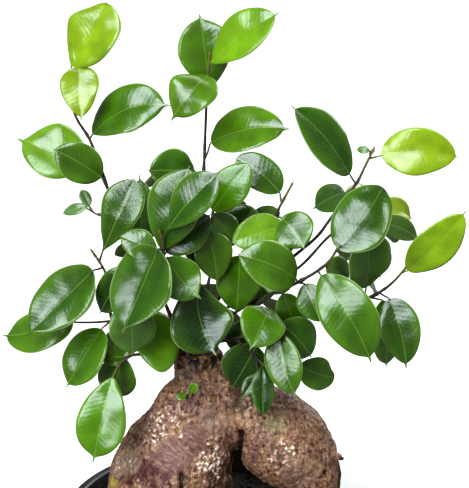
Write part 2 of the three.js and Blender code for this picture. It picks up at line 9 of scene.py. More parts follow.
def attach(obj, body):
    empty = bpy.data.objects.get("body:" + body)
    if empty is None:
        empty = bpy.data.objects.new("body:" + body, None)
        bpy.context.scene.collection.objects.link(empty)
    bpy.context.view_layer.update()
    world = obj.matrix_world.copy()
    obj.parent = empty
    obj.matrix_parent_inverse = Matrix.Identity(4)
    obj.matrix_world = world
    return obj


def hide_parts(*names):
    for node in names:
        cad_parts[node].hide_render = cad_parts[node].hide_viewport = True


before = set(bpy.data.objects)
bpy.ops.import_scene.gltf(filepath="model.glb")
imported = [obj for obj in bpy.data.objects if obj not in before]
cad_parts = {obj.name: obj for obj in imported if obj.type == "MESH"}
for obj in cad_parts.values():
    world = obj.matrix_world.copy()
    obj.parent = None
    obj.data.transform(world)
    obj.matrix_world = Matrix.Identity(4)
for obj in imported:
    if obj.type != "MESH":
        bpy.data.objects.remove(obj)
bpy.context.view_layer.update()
mm = 0.001  # shapes are worked out in mm and finished in Blender's metres
print("frame loaded:", len(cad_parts), "nodes")


def newObject(name, data):
    made = bpy.data.objects.new(name, data)
    bpy.context.scene.collection.objects.link(made)
    return made


def meshObject(bm, name):  # the shape as an object, brought to metres
    bmesh.ops.scale(bm, vec=(mm, mm, mm), verts=bm.verts)
    mesh = bpy.data.meshes.new(name)
    bm.to_mesh(mesh)
    bm.free()
    return newObject(name, mesh)


# the camera stands where the photograph's did
view = {
    "elevation": 17,  # degrees
    "distance": 750,  # mm
    "target": (17.7, 0, 271),  # mm
    "frameHeight": 292.8,  # mm, seen at the target
}

rise = radians(view["elevation"])
target = Vector(view["target"])
toEye = Vector((0, -cos(rise), sin(rise)))
viewUp = Vector((0, sin(rise), cos(rise)))
eyePoint = target + toEye * view["distance"]
sky = Vector((0, 0, 1))

plantCamera = bpy.data.cameras.new("plantCamera")
plantCamera.sensor_fit = "VERTICAL"
plantCamera.sensor_height = 36
plantCamera.lens = plantCamera.sensor_height * view["distance"] / view["frameHeight"]
cameraObject = newObject("plantCamera", plantCamera)
cameraObject.location = eyePoint * mm
cameraObject.rotation_euler = (radians(90) - rise, 0, 0)
bpy.context.scene.camera = cameraObject
print("camera placed")


def hexColour(code):  # an sRGB hex value, as the linear colour that a shader takes
    channels = [int(code[i:i + 2], 16) / 255 for i in (1, 3, 5)]
    return [c / 12.92 if c <= 0.04045 else ((c + 0.055) / 1.055) ** 2.4 for c in channels] + [1]


def setInputs(node, inputs):  # an input given as another node's output is linked
    for name, value in inputs.items():
        if isinstance(value, bpy.types.NodeSocket):
            node.id_data.links.new(value, node.inputs[name])
        else:
            node.inputs[name].default_value = value


def addNode(tree, kind, inputs=None, out=0, **settings):  # the new node's output, or all of them
    node = tree.nodes.new("ShaderNode" + kind)
    for name, value in settings.items():
        setattr(node, name, value)
    setInputs(node, inputs or {})
    return node.outputs[:] if out is None else node.outputs[out]


def newMaterial(name):
    material = bpy.data.materials.new(name)
    material.use_nodes = True
    tree = material.node_tree
    return material, tree, tree.nodes["Principled BSDF"]


def perMetre(size):  # a pattern's scale, from the size of its cells in mm
    return 1 / (size * mm)


def tinted(tree, colour, layers):  # each layer: what it reads, from, to, its share at each, its colour
    for value, low, high, atLow, atHigh, code in layers:
        share = addNode(tree, "MapRange", {0: value, 1: low, 2: high, 3: atLow, 4: atHigh},
                        interpolation_type="SMOOTHSTEP")
        colour = addNode(tree, "Mix", {0: share, 6: colour, 7: hexColour(code)}, out=2, data_type="RGBA")
    return colour


def turns(count):
    return [2 * pi * i / count for i in range(count)]


def smoothStep(value, low, high):
    share = min(1, max(0, (value - low) / (high - low)))
    return share * share * (3 - 2 * share)


def place(right, up, front):  # from the front view: right and up on the picture, then forward, in mm
    onPlane = target + viewUp * up
    onPlane.x += right
    return eyePoint.lerp(onPlane, (-front - eyePoint.y) / (onPlane.y - eyePoint.y))


def onPicture(point):  # the other way: where a point lies on the front view
    ray = point - eyePoint
    hit = eyePoint + ray * (view["distance"] / -ray.dot(toEye)) - target
    return Vector((hit.x, hit.dot(viewUp)))


def smoothLine(points, steps):  # centripetal curve through the points, so many steps to a span
    ends = [points[0] * 2 - points[1], *points, points[-1] * 2 - points[-2]]
    line = []
    for p0, p1, p2, p3 in zip(ends, ends[1:], ends[2:], ends[3:]):
        d0, d1, d2 = [max(1e-3, (b - a).length ** 0.5) for a, b in ((p0, p1), (p1, p2), (p2, p3))]
        leave = ((p1 - p0) / d0 - (p2 - p0) / (d0 + d1) + (p2 - p1) / d1) * d1
        arrive = ((p2 - p1) / d1 - (p3 - p1) / (d1 + d2) + (p3 - p2) / d2) * d1
        for step in range(steps):
            t = step / steps
            line.append(p1 + leave * t + (p2 * 3 - p1 * 3 - leave * 2 - arrive) * t ** 2
                        + (p1 * 2 - p2 * 2 + leave + arrive) * t ** 3)
    return line + [points[-1]]


def sweep(bm, rings):  # a closed solid: a capped circle, extruded and moved from ring to ring
    ring = bmesh.ops.create_circle(bm, cap_ends=True, segments=len(rings[0]), radius=1)["verts"]
    made = []
    for number, points in enumerate(rings):
        if number:
            edges = [bm.edges.get((ring[i - 1], ring[i])) for i in range(len(ring))]
            fresh = bmesh.ops.extrude_edge_only(bm, edges=edges)["geom"]
            fresh = {v for v in fresh if isinstance(v, bmesh.types.BMVert)}
            ring = [next(e.other_vert(v) for e in v.link_edges if e.other_vert(v) in fresh) for v in ring]
        for vert, point in zip(ring, points):
            vert.co = point
        made.append(ring)
    bm.faces.new(ring)
    return made


def headingAt(line, i):
    return (line[min(i + 1, len(line) - 1)] - line[max(i - 1, 0)]).normalized()


def tubeRings(line, radii, sides):  # round rings along a line
    across = (line[1] - line[0]).orthogonal()
    rings = []
    for i, centre in enumerate(line):
        heading = headingAt(line, i)
        across = (across - heading * across.dot(heading)).normalized()
        deep = heading.cross(across)
        spokes = [across * cos(a) + deep * sin(a) for a in turns(sides)]
        rings.append([centre + spoke * radii[i] for spoke in spokes])
    return rings


def workedMesh(helper):  # what the helper's modifiers make of it, back in mm
    mesh = bpy.data.meshes.new_from_object(helper.evaluated_get(bpy.context.evaluated_depsgraph_get()))
    bm = bmesh.new()
    bm.from_mesh(mesh)
    bmesh.ops.scale(bm, vec=(1 / mm,) * 3, verts=bm.verts)
    bm.normal_update()
    bpy.data.meshes.remove(mesh)
    return bm


def finishPiece(bm, name, materials, slot, *nodes):  # smooth, and in place of its nodes
    for f in bm.faces:
        f.smooth = True
    piece = meshObject(bm, name)
    for material in materials:
        piece.data.materials.append(material)
    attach(piece, "root")
    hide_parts(*nodes)
    print("made", name, len(piece.data.polygons), "faces")


# waxy ficus leaf, grown: a thin glossy cuticle that mirrors the sky in soft patches, broken up by faint
# slanting veins; the midrib is paler, the pale margin is partly the blade's own edge and partly a painted
# rim highlight, and the underside is pale and dull
leafTones = {
    "deep": "#193a05", "dark": "#2f5408", "mid": "#3f6709", "fresh": "#4c7708", "light": "#66921a",
    "lime": "#6f980a", "young": "#7f9c0c", "yellow": "#98ab1c", "grey": "#45662a", "dusty": "#60804a",
}
leafLook = {
    "veinSpacing": 2.9, "veinSlant": 0.5,  # mm, and mm along for each mm across
    "waver": 1.6,  # mm, of the veins
    "blotch": 13, "bloom": 3.5, "speck": 0.7,  # mm, cells of the patterns
    "uneven": (0.72, 1.22),  # brightness of the darkest and the lightest places
    "yellowed": "#6f9f1e", "vein": "#9fb860", "rib": "#8fad4a", "margin": "#bfd392",
    "dripTip": "#3d3b16", "under": "#93a872",
    "ior": 1.45, "cuticleRoughness": 0.09,
    "relief": 0.19, "veinShare": 0.22, "bloomShare": 0.5,  # mm, and how much of it the patterns lift
}


def leafFinish(name, pale, veinShare, shine, dull, cuticle):
    material, tree, shader = newMaterial(name)
    tint = addNode(tree, "Attribute", out="Color", attribute_name="plantTint")
    coords = addNode(tree, "TexCoord", out="Object")
    shares, sizes = [addNode(tree, "Attribute", out="Vector", attribute_name=stored)
                     for stored in ("bladePlace", "bladeSize")]
    across, along, _ = addNode(tree, "SeparateXYZ", {0: shares}, out=None)
    acrossSize, alongSize, _ = addNode(tree, "SeparateXYZ", {0: sizes}, out=None)
    offRib = addNode(tree, "Math", {0: acrossSize}, operation="ABSOLUTE")
    offMiddle = addNode(tree, "Math", {0: across}, operation="ABSOLUTE")
    blotch, bloom, speck = [
        addNode(tree, "TexNoise", {"Vector": coords, "Scale": perMetre(leafLook[cell]), "Detail": 3})
        for cell in ("blotch", "bloom", "speck")]
    slanted = addNode(tree, "Math", {0: offRib, 1: -leafLook["veinSlant"], 2: alongSize},
                      operation="MULTIPLY_ADD")
    slanted = addNode(tree, "Math", {0: bloom, 1: leafLook["waver"], 2: slanted}, operation="MULTIPLY_ADD")
    offVein = addNode(tree, "Math", {0: slanted, 1: leafLook["veinSpacing"] / 2}, operation="PINGPONG")

    darkest, lightest = leafLook["uneven"]
    tone = addNode(tree, "MapRange", {0: blotch, 1: 0.3, 2: 0.7, 3: darkest, 4: lightest})
    colour = tinted(tree, addNode(tree, "VectorMath", {0: tint, "Scale": tone}, operation="SCALE"), [
        (blotch, 0.0, 1.0, pale, pale, leafLook["under"]),
        (offMiddle, 0.4, 0.95, 0, 0.22, leafLook["yellowed"]),
        (offVein, 0.02, 0.3, veinShare, 0, leafLook["vein"]),
        (offRib, 0.1, 0.42, 0.35, 0, leafLook["rib"]),
        # a paler margin: partly the blade's own pale edge, partly a painted rim highlight
        (offMiddle, 0.94, 0.985, 0, 0.45, leafLook["margin"]),
        (along, 0.93, 1, 0, 0.6, leafLook["dripTip"]),
    ])
    wax = addNode(tree, "MapRange", {0: bloom, 1: 0.35, 2: 0.65, 3: shine, 4: dull})
    swell = addNode(tree, "Math", {0: bloom, 1: leafLook["bloomShare"], 2: speck}, operation="MULTIPLY_ADD")
    height = addNode(tree, "Math", {0: offVein, 1: leafLook["veinShare"], 2: swell},
                     operation="MULTIPLY_ADD")
    bump = addNode(tree, "Bump", {"Height": height, "Strength": 0.5, "Distance": leafLook["relief"] * mm})
    setInputs(shader, {"Base Color": colour, "Roughness": wax, "Normal": bump, "IOR": leafLook["ior"],
                       "Coat Normal": bump, "Coat Weight": cuticle,
                       "Coat Roughness": leafLook["cuticleRoughness"]})
    return material


leafAbove = leafFinish("waxyLeafUpperFace", 0, 0.05, 0.12, 0.24, 0.4)
leafBelow = leafFinish("paleLeafUnderside", 0.45, 0.3, 0.5, 0.62, 0)

# young fig twig: dark thin bark with a fine grain, green at the growing end, from the tint of each place
twigLook = {
    "start": 1.5, "end": 0.72, "branch": 0.8, "branchEnd": 0.6, "petiole": 0.55,  # mm, radii
    "sides": 10, "bud": 3.2,  # mm
    "bark": "#2a1d15", "youngEnd": "#6d6a24", "dust": "#7d6a54", "roughness": 0.55,
    "grain": 1.1, "relief": 0.3,  # mm
}
twigBark, tree, shader = newMaterial("youngTwigBark")
coords = addNode(tree, "TexCoord", out="Object")
grain = addNode(tree, "TexNoise", {"Vector": coords, "Scale": perMetre(twigLook["grain"]), "Detail": 3})
colour = tinted(tree, addNode(tree, "Attribute", out="Color", attribute_name="plantTint"),
                [(grain, 0.4, 0.75, 0, 0.45, twigLook["dust"])])
bump = addNode(tree, "Bump", {"Height": grain, "Strength": 0.5, "Distance": twigLook["relief"] * mm})
setInputs(shader, {"Base Color": colour, "Roughness": twigLook["roughness"], "Normal": bump})
print("leaf and twig finishes made")

# the crown: shoots of leaves on twigs that stand in the neck's sockets
neck = {"x": -5, "top": 203}  # mm
socket = {
    "outerRing": 10.6, "innerRing": 4.4,  # mm, from the neck's axis
    "stand": [(0, -7.65), (0, -2), (0.4, 2), (3, 8)],  # mm, a stem's way out and up from its socket's mouth
}
facing = {"outward": 0.35, "sky": 0.35, "skyBehind": 0.7, "leastTurn": 0.55}
blade = {
    "cellsAcross": 14, "cellsAlong": 40,
    "thickness": 0.45,  # mm
    "fold": 8, "foldSpread": 3, "turn": 13,  # degrees, the last two at most, either way
    "foldRadius": 3, "arch": 0.07,  # mm, share of the length
    "belly": 0.48, "roundness": 0.56,  # share of the length where it is widest; less is rounder
    "dripLength": 0.09, "dripWidth": 0.2,  # shares of the length and of half the width
    "ribWidth": 0.8, "ribDepth": 0.22,  # mm, the groove along the midrib
    "veinDepth": 0.008,  # mm
    "wave": 0.6, "curl": 1.0, "swell": 0.6,  # mm, heights on a leaf of the usual half width
    "usualHalf": 14, "swellSize": 9,  # mm
    "beats": (1.2, 2.1), "edgeWaver": 0.025,  # waves to a length, share of the width
    "drip": (0.3, 0.9), "bright": (0.88, 1.14), "tinge": (0.94, 1.06),  # shares, drawn leaf by leaf
    "petioleSweep": 0.4,  # share of the petiole's reach
}


def leaf(base, tip, wide, tone, **form):
    return {"base": place(*base), "tip": place(*tip), "wide": wide, "tone": tone, **form}


def bladeWidth(along, belly, drip):  # share of half the width
    end = 1 - blade["dripLength"] * drip
    stretch = min(1, along / end) ** (log(0.5) / log(belly))
    body = max(0, sin(pi * stretch)) ** blade["roundness"]
    point = blade["dripWidth"] * drip * (1 - along) / (2 * blade["dripLength"]) if along > 0.8 else 0
    return (body + point + hypot(body - point, 0.04)) / 2


def faceOf(form, axis, behind):  # the way that the upper face looks
    middle = (form["base"] + form["tip"]) / 2
    outward = Vector((middle.x - neck["x"], middle.y, 0)) / 100
    if behind:
        looks = outward + sky * facing["skyBehind"]
    else:
        looks = outward * facing["outward"] + sky * facing["sky"] + toEye
    looks = (looks - axis * looks.dot(axis)).normalized()
    looks.rotate(Quaternion(axis, radians(form["roll"])))
    return looks


def growStem(bm, layers, rings, shares, endColour):  # from the bark's colour to another one
    bark, green = hexColour(twigLook["bark"]), hexColour(endColour)
    for share, ring in zip(shares, sweep(bm, rings)):
        for vert in ring:
            vert[layers["tint"]] = [b + (g - b) * share for b, g in zip(bark, green)]
            for f in vert.link_faces:
                f.material_index = 2


def growLeaf(bm, layers, form, origin, behind, draw):
    axis = form["tip"] - form["base"]
    length = axis.length
    axis.normalize()
    form.setdefault("roll", draw.uniform(-blade["turn"], blade["turn"]))
    face = faceOf(form, axis, behind)
    flat = (toEye - axis * toEye.dot(axis)).normalized()
    turned = 1 if behind else max(facing["leastTurn"], abs(flat.dot(face)))
    half = form["wide"] / 2 / turned * (form["base"] - eyePoint).length / view["distance"]
    side = axis.cross(face)
    arch, bend = form.get("arch", blade["arch"]) * length, form.get("bend", 0) * length
    fold = tan(radians(blade["fold"] + draw.uniform(-blade["foldSpread"], blade["foldSpread"])))
    belly, drip = form.get("belly", blade["belly"]), form.get("drip", draw.uniform(*blade["drip"]))
    size = half / blade["usualHalf"]
    seed, phase, beat = draw.random(), draw.uniform(0, 2 * pi), draw.uniform(*blade["beats"])
    spot = Vector((draw.uniform(-99, 99), draw.uniform(-99, 99), 0))
    bright, tone = draw.uniform(*blade["bright"]), leafTones[form["tone"]]
    tint = [c * bright * draw.uniform(*blade["tinge"]) for c in hexColour(tone)[:3]] + [1]

    def middle(along):
        bow = 4 * along * (1 - along)
        return form["base"] + axis * along * length + face * arch * bow + side * bend * bow

    grid = bmesh.ops.create_grid(bm, x_segments=blade["cellsAcross"], y_segments=blade["cellsAlong"],
                                 size=1)
    for vert in grid["verts"]:
        across, along = vert.co.x, (vert.co.y + 1) / 2
        along = 0.4 * along + 0.6 * (0.5 - 0.5 * cos(pi * along))  # closer rows at the ends
        wide = max(half * bladeWidth(along, belly, drip), 0.6 * (1 - along) + 0.15)
        wide *= 1 + blade["edgeWaver"] * sin(7 * along + phase + 2 * across)
        heading = (middle(along + 0.005) - middle(along - 0.005)).normalized()
        right = heading.cross(face).normalized()
        x, y = across * wide, along * length
        body = smoothStep(along, 0, 0.1) * smoothStep(1 - along, 0, 0.1)
        vein = cos(2 * pi * (y - abs(x) * leafLook["veinSlant"]) / leafLook["veinSpacing"])
        sway = sin(2 * pi * beat * along + phase + (1.9 if across > 0 else 0))
        lift = fold * (hypot(x, blade["foldRadius"]) - blade["foldRadius"])
        lift -= body * blade["ribDepth"] * exp(-((x / blade["ribWidth"]) ** 2))
        lift -= body * blade["veinDepth"] * vein * smoothStep(abs(x), 0.8, 3) * (1 - across ** 4)
        swell = noise(spot + Vector((x, y, 0)) / blade["swellSize"])
        lift += body * size * (blade["wave"] * sway * across ** 2 - blade["curl"] * across ** 4
                               + blade["swell"] * swell)
        vert.co = middle(along) + right * x + right.cross(heading) * lift
        vert[layers["place"]] = (across, along, seed)
        vert[layers["size"]] = (x, y, 0)
        vert[layers["tint"]] = tint
    upper = {f for v in grid["verts"] for f in v.link_faces}
    bm.normal_update()
    shell = bmesh.ops.solidify(bm, geom=list(upper), thickness=blade["thickness"])["geom"]
    under = {f for f in shell if isinstance(f, bmesh.types.BMFace)} - upper
    margin = {f for f in under if any(n in upper for e in f.edges for n in e.link_faces)}
    for f in under:
        f.material_index = 0 if f in margin else 1
    for e in {e for f in margin for e in f.edges}:
        e.smooth = all(f in margin for f in e.link_faces)

    reach = (form["base"] - origin).length
    start = [origin, origin.lerp(form["base"], 0.5) - face * 0.04 * reach, form["base"]]
    line = smoothLine([*start, form["base"] + axis * 3 - face * 0.35], 3)
    shares = [i / (len(line) - 1) for i in range(len(line))]
    rings = tubeRings(line, [twigLook["petiole"] * (1.3 - 0.6 * share) for share in shares], 8)
    growStem(bm, layers, rings, [smoothStep(share, 0.05, 0.7) for share in shares], tone)


def leafOrigin(base, lines):  # on the nearest twig, a little back towards the root
    gap, number, at = min(((point - base).length, number, i)
                          for number, line in enumerate(lines) for i, point in enumerate(line))
    line, back = lines[number], blade["petioleSweep"] * gap
    at = min(at, len(line) - 2)
    while at > 0 and back > 0:
        back -= (line[at] - line[at - 1]).length
        at -= 1
    return line[at]


def growTwig(bm, layers, line, start, end, leafBases, draw):
    shares = [i / (len(line) - 1) for i in range(len(line))]
    radii = [start + (end - start) * share ** 0.7 for share in shares]
    for base in leafBases:  # a node swells where each leaf leaves
        radii[min(range(len(line)), key=lambda i: (line[i] - base).length)] *= 1.3
    tip = (line[-1] - line[-3]).normalized()
    for thin in (1.15, 0.7, 0.15):  # the pointed bud at the end
        line = [*line, line[-1] + tip * twigLook["bud"] / 3]
        radii.append(end * thin)
        shares.append(1)
    rings = tubeRings(line, [r * draw.uniform(0.94, 1.06) for r in radii], twigLook["sides"])
    growStem(bm, layers, rings, [smoothStep(share, 0.8, 1.05) for share in shares], twigLook["youngEnd"])


def newShoot():
    bm = bmesh.new()
    kinds = bm.verts.layers
    layers = {"place": kinds.float_vector.new("bladePlace"), "size": kinds.float_vector.new("bladeSize"),
              "tint": kinds.float_color.new("plantTint")}
    return bm, layers


outerRing, innerRing = socket["outerRing"], socket["innerRing"]

# each leafy shoot: where it stands in the neck's top, its twig, and its leaves as (base, tip, width, tone)
shoots = {}
shoots["shoot_top_left"] = {
    "ring": outerRing, "angle": 160,
    "twig": [(-44, -44, -6), (-58, -20, -12), (-67, 6, -16), (-76, 33, -21), (-87, 63, -26),
             (-94, 74, -28), (-97, 82, -29), (-98, 96, -31)],
    "branches": [[(-72, 20, -18), (-80, 17, -21), (-88, 21, -24)]],
    "leaves": [
        leaf((-88, 49, -34), (-130, 63, -42), 33, "light", bend=-0.02, roll=9),
        leaf((-80, 40, -18), (-109, 57, -14), 24, "mid", bend=0.02),
        leaf((-85, 66, -26), (-38, 83, -20), 29, "mid", bend=-0.12, belly=0.54, drip=0.9, roll=-4),
        leaf((-93, 106, -29), (-92, 74, -12), 23, "young", belly=0.36, drip=0.8),
        leaf((-98, 107, -32), (-77, 145, -38), 33, "young", bend=0.08, belly=0.56, drip=0.1, roll=0),
        leaf((-88, 23, -24), (-104, 18, -30), 7, "dusty", drip=1),
        leaf((-87, 23, -24), (-92, 33, -30), 7, "dusty"),
        leaf((-55, -2, -6), (-57, 42, -8), 20, "grey"),
        leaf((-63, 4, -18), (-60, -8, -48), 22, "dark", behind=True),
        leaf((-57, -24, -13), (-75, -35, -41), 26, "mid", behind=True),
    ],
}
shoots["shoot_top_centre"] = {
    "ring": innerRing, "angle": 120, "stem": 1.05,
    "twig": [(-25, -46, -8), (-24, -20, -14), (-20.5, 10, -20), (-18.5, 43, -23), (-17, 80, -26),
             (-16, 100, -28), (-15, 113, -28)],
    "leaves": [
        leaf((-15, 94, -36), (-21, 138, -46), 32, "mid", belly=0.56),
        leaf((-14, 109, -28), (27, 139, -20), 26, "lime", bend=-0.015, belly=0.56),
        leaf((-16, 101, -24), (-38, 74, -8), 28, "fresh", arch=0.25, bend=-0.06, drip=0.9, roll=6),
        leaf((-14, 61, -22), (33, 69, -14), 28, "fresh", bend=-0.055, drip=0.8, roll=-14),
        leaf((-24, 44, -16), (-52, 44, -4), 26, "dark", roll=-14),
        leaf((-22, 14, -26), (-44, 1, -42), 27, "dark", behind=True),
        leaf((-19, 26, -28), (7, 22, -48), 27, "mid", behind=True),
        leaf((-21, 34, -30), (-46, 27, -52), 24, "dark", behind=True),
        leaf((-17, 42, -28), (2, 31, -62), 22, "mid", behind=True),
    ],
}
shoots["shoot_front_left"] = {
    "ring": outerRing, "angle": 245,
    "twig": [(-33, -54, 26), (-40, -40, 34), (-44, -22, 38), (-43, -8, 40), (-43, 2, 41), (-45, 7, 42)],
    "leaves": [
        leaf((-44, -3, 38), (-27, 47, 33), 33, "dark", bend=0.01, belly=0.57, arch=0.08, roll=-6),
        leaf((-40, 9, 44), (-10, 42, 50), 24, "dark", belly=0.62, drip=0.2, arch=0.1, roll=-8),
        leaf((-41, -5, 36), (-14, 18, 24), 22, "deep", roll=10),
        leaf((-46, -3, 44), (-68, -54, 60), 38, "dark",
             bend=0.05, belly=0.41, drip=0.9, arch=-0.09, roll=18),
        leaf((-40, -8, 38), (-20, -33, 44), 27, "mid", bend=0.07, drip=1, arch=-0.1, roll=6),
        leaf((-47, -5, 34), (-69, 5, 30), 17, "grey"),
    ],
}
shoots["shoot_front"] = {
    "ring": outerRing, "angle": 272,
    "twig": [(-22, -54, 20), (-22, -40, 25), (-22, -28, 28), (-22, -19, 29)],
    "branches": [[(-22, -36, 26), (-36, -30, 29), (-50, -24, 29), (-62, -20, 28)]],
    "leaves": [
        leaf((-22, -22, 31), (-11, -67, 43), 39, "deep",
             bend=0.09, belly=0.63, drip=0.9, arch=-0.1, roll=2),
        leaf((-62, -34, 34), (-61, -67, 34), 28, "grey"),
        leaf((-64, -14, 28), (-81, -42, 22), 20, "deep"),
    ],
}
shoots["shoot_lower_left"] = {
    "ring": outerRing, "angle": 218,
    "twig": [(-40, -62, 11), (-52, -66, 14), (-62, -67, 17), (-70, -74, 20), (-73, -80, 23)],
    "leaves": [
        leaf((-73, -80, 24), (-85, -131, 42), 30, "fresh", belly=0.58, drip=0.7, arch=0.09, roll=-8),
        leaf((-67, -68, 15), (-73, -92, 4), 24, "mid"),
        leaf((-70, -73, 16), (-72, -49, -10), 24, "fresh"),
        leaf((-33, -58, 11), (-61, -62, 20), 36, "light", bend=0.03),
    ],
}
shoots["shoot_left"] = {
    "ring": outerRing, "angle": 190,
    "twig": [(-40, -57, 2), (-58, -53, 4), (-72, -46, 8), (-76, -34, 12), (-76, -22, 15),
             (-79, -14, 17), (-85, -5, 18)],
    "branches": [[(-72, -46, 8), (-84, -47, 6), (-96, -47, 3)]],
    "leaves": [
        leaf((-85, -16, 24), (-125, -55, 40), 32, "dark",
             bend=0.06, belly=0.46, drip=0.9, arch=-0.1, roll=7),
        leaf((-79, -4, 20), (-60, 39, 18), 25, "dark", bend=0.02, belly=0.66, drip=0.1, roll=4),
        leaf((-97, -47, 3), (-139, -55, -6), 24, "mid", bend=-0.06),
        leaf((-80, -51, 13), (-101, -86, 22), 25, "mid", bend=-0.03, drip=0.7),
        leaf((-60, -50, -2), (-58, -30, -29), 25, "dark", behind=True),
    ],
}
shoots["shoot_inner"] = {
    "ring": innerRing, "angle": 210,
    "twig": [(-28, -46, 10), (-24, -24, 13), (-19, -6, 15), (-14, 10, 16), (-13, 19, 16)],
    "branches": [[(-20, -8, 15), (-6, -10, 14), (6, -11, 14)]],
    "leaves": [
        leaf((-13, 20, 17), (10, 50, 12), 23, "fresh", roll=-6),
        leaf((-15, 6, 22), (-10, -24, 26), 23, "mid", belly=0.38, drip=1),
        leaf((-13, 18, 14), (1, -1, 12), 18, "grey"),
        leaf((3, -7, 14), (1, -41, 22), 27, "mid", belly=0.44, drip=0.4),
        leaf((-23, -12, 11), (-24, 18, 0), 18, "deep"),
    ],
}
shoots["shoot_centre"] = {
    "ring": innerRing, "angle": 300,
    "twig": [(-14, -42, 6), (-4, -24, 5), (10, -3, 4), (22, 12, 5), (27, 22, 7), (34, 35, 9)],
    "leaves": [
        leaf((27, 31, 4), (0, 52, -6), 22, "dark", bend=0.05),
        leaf((28, 16, 12), (42, -3, 27), 26, "mid", arch=0.05, bend=-0.04, roll=15),
        leaf((30, 11, 14), (-2, 1, 24), 22, "light"),
        leaf((16, 12, 3), (-10, 18, -4), 18, "dark"),
        leaf((27, 19, 2), (9, 12, -12), 14, "grey"),
        leaf((22, 12, 2), (31, -9, 8), 20, "deep"),
    ],
}
shoots["shoot_right_up"] = {
    "ring": innerRing, "angle": 20,
    "twig": [(-8, -42, -6), (12, -26, -6), (36, -7, -2), (50, 5, 2), (56, 13, 4), (66, 27, 6),
             (73, 36, 8), (79, 48, 8), (83, 56, 8)],
    "branches": [[(58, 16, 4), (72, 18, 0), (86, 17, -2)]],
    "leaves": [
        leaf((69, 42, 6), (34, 83, 12), 25, "dark", bend=0.015),
        leaf((88, 53, 8), (134, 52, 12), 29, "young", bend=-0.06, roll=14),
        leaf((66, 31, -2), (47, 21, -14), 17, "grey", bend=0.03, belly=0.42, drip=1),
        leaf((89, 20, -4), (107, 15, -14), 17, "yellow", bend=-0.08),
        leaf((87, 13, 0), (110, 3, -4), 14, "grey", bend=-0.06),
        leaf((81, 56, 8), (73, 57, 5), 5, "mid"),
        leaf((68, 20, -4), (81, -9, -24), 25, "dark", behind=True),
        leaf((72, 32, 3), (88, 12, -29), 27, "light", behind=True),
    ],
}
shoots["shoot_right_front"] = {
    "ring": outerRing, "angle": 332,
    "twig": [(-4, -54, 10), (8, -44, 15), (18, -32, 21), (30, -27, 25), (38, -23, 28),
             (50, -16, 33), (57, -10, 36), (61, -4, 38)],
    "leaves": [
        leaf((37, -21, 33), (1, -6, 44), 28, "mid", arch=0.18, roll=2),
        leaf((52, -19, 37), (82, -71, 52), 33, "mid", bend=-0.05, belly=0.5, drip=0.7, arch=0.14, roll=25),
        leaf((62, -3, 40), (89, 34, 36), 34, "dark", arch=-0.1, roll=-26, drip=0),
        leaf((42, -24, 26), (52, -47, 34), 18, "dark", arch=0.05, roll=24),
        leaf((29, -30, 22), (37, -52, 14), 18, "mid"),
        leaf((5, -46, 13), (1, -66, 9), 18, "deep"),
        leaf((33, -27, 22), (16, -20, 14), 14, "grey"),
        leaf((55, -13, 32), (69, -23, 14), 19, "grey"),
    ],
}
shoots["shoot_right_low"] = {
    "ring": outerRing, "angle": 300,
    "twig": [(-12, -59, 16), (0, -57, 22), (14, -52, 27), (26, -49, 30)],
    "branches": [[(0, -57, 22), (10, -65, 22), (17, -72, 24)],
                 [(20, -51, 28), (30, -62, 20), (38, -72, 16)]],
    "leaves": [
        leaf((21, -39, 28), (9, -64, 48), 28, "mid", belly=0.44, drip=0.9, arch=0.14, roll=0),
        leaf((27, -54, 34), (37, -92, 48), 22, "mid", bend=0.05, arch=0.04, roll=26, drip=0.9),
        leaf((28, -48, 28), (46, -68, 26), 25, "dark", bend=-0.04),
        leaf((39, -73, 16), (60, -80, 6), 20, "mid", bend=0.05, drip=0),
        leaf((13, -61, 20), (-2, -87, 24), 29, "deep"),
        leaf((17, -74, 25), (17, -102, 36), 14, "deep", drip=0),
        leaf((14, -78, 27), (5, -92, 32), 9, "deep"),
    ],
}
shoots["shoot_right_far"] = {
    "ring": outerRing, "angle": 5,
    "twig": [(0, -52, 0), (22, -45, 2), (44, -40, 5), (66, -36, 8), (81, -32, 10),
             (90, -27, 11), (96, -22, 12), (103, -14, 13)],
    "leaves": [
        leaf((79, -26, 12), (79, 11, 18), 28, "mid", bend=-0.01),
        leaf((104, -16, 14), (139, 20, 22), 24, "young", bend=0.01),
        leaf((93, -33, 14), (103, -75, 28), 24, "dark",
             bend=-0.04, belly=0.44, drip=0.8, arch=0.08, roll=22),
        leaf((89, -34, 7), (91, -74, 0), 20, "mid"),
        leaf((85, -30, 8), (68, -8, -21), 25, "dark", behind=True),
        leaf((60, -38, 5), (73, -58, -23), 27, "mid", behind=True),
    ],
}
shoots["shoot_back_left"] = {
    "ring": outerRing, "angle": 125, "behind": True,
    "twig": [(-36, -46, -16), (-46, -24, -34), (-52, 0, -48), (-56, 22, -58), (-58, 34, -62)],
    "leaves": [
        leaf((-42, -32, -32), (-70, -46, -60), 31, "dark"),
        leaf((-46, -18, -40), (-40, -34, -74), 27, "mid"),
        leaf((-54, 0, -46), (-82, 19, -70), 30, "dark"),
        leaf((-52, 12, -54), (-31, 33, -85), 30, "mid"),
        leaf((-57, 22, -60), (-68, 3, -98), 28, "dark"),
        leaf((-57, 34, -64), (-39, 39, -104), 26, "fresh"),
    ],
}
shoots["shoot_back"] = {
    "ring": outerRing, "angle": 85, "behind": True,
    "twig": [(-20, -44, -22), (-15, -20, -44), (-11, 4, -60), (-9, 22, -70)],
    "leaves": [
        leaf((-16, -24, -42), (-22, -40, -80), 27, "mid"),
        leaf((-13, -14, -50), (19, -23, -78), 32, "dark"),
        leaf((-14, 0, -58), (-34, 3, -98), 28, "mid"),
        leaf((-9, 10, -64), (20, 15, -95), 30, "dark"),
        leaf((-10, 22, -72), (-17, 31, -114), 27, "fresh"),
        leaf((-8, 19, -70), (13, 8, -108), 26, "dark"),
        leaf((-17, -36, -32), (-2, -60, -65), 30, "dark"),
    ],
}
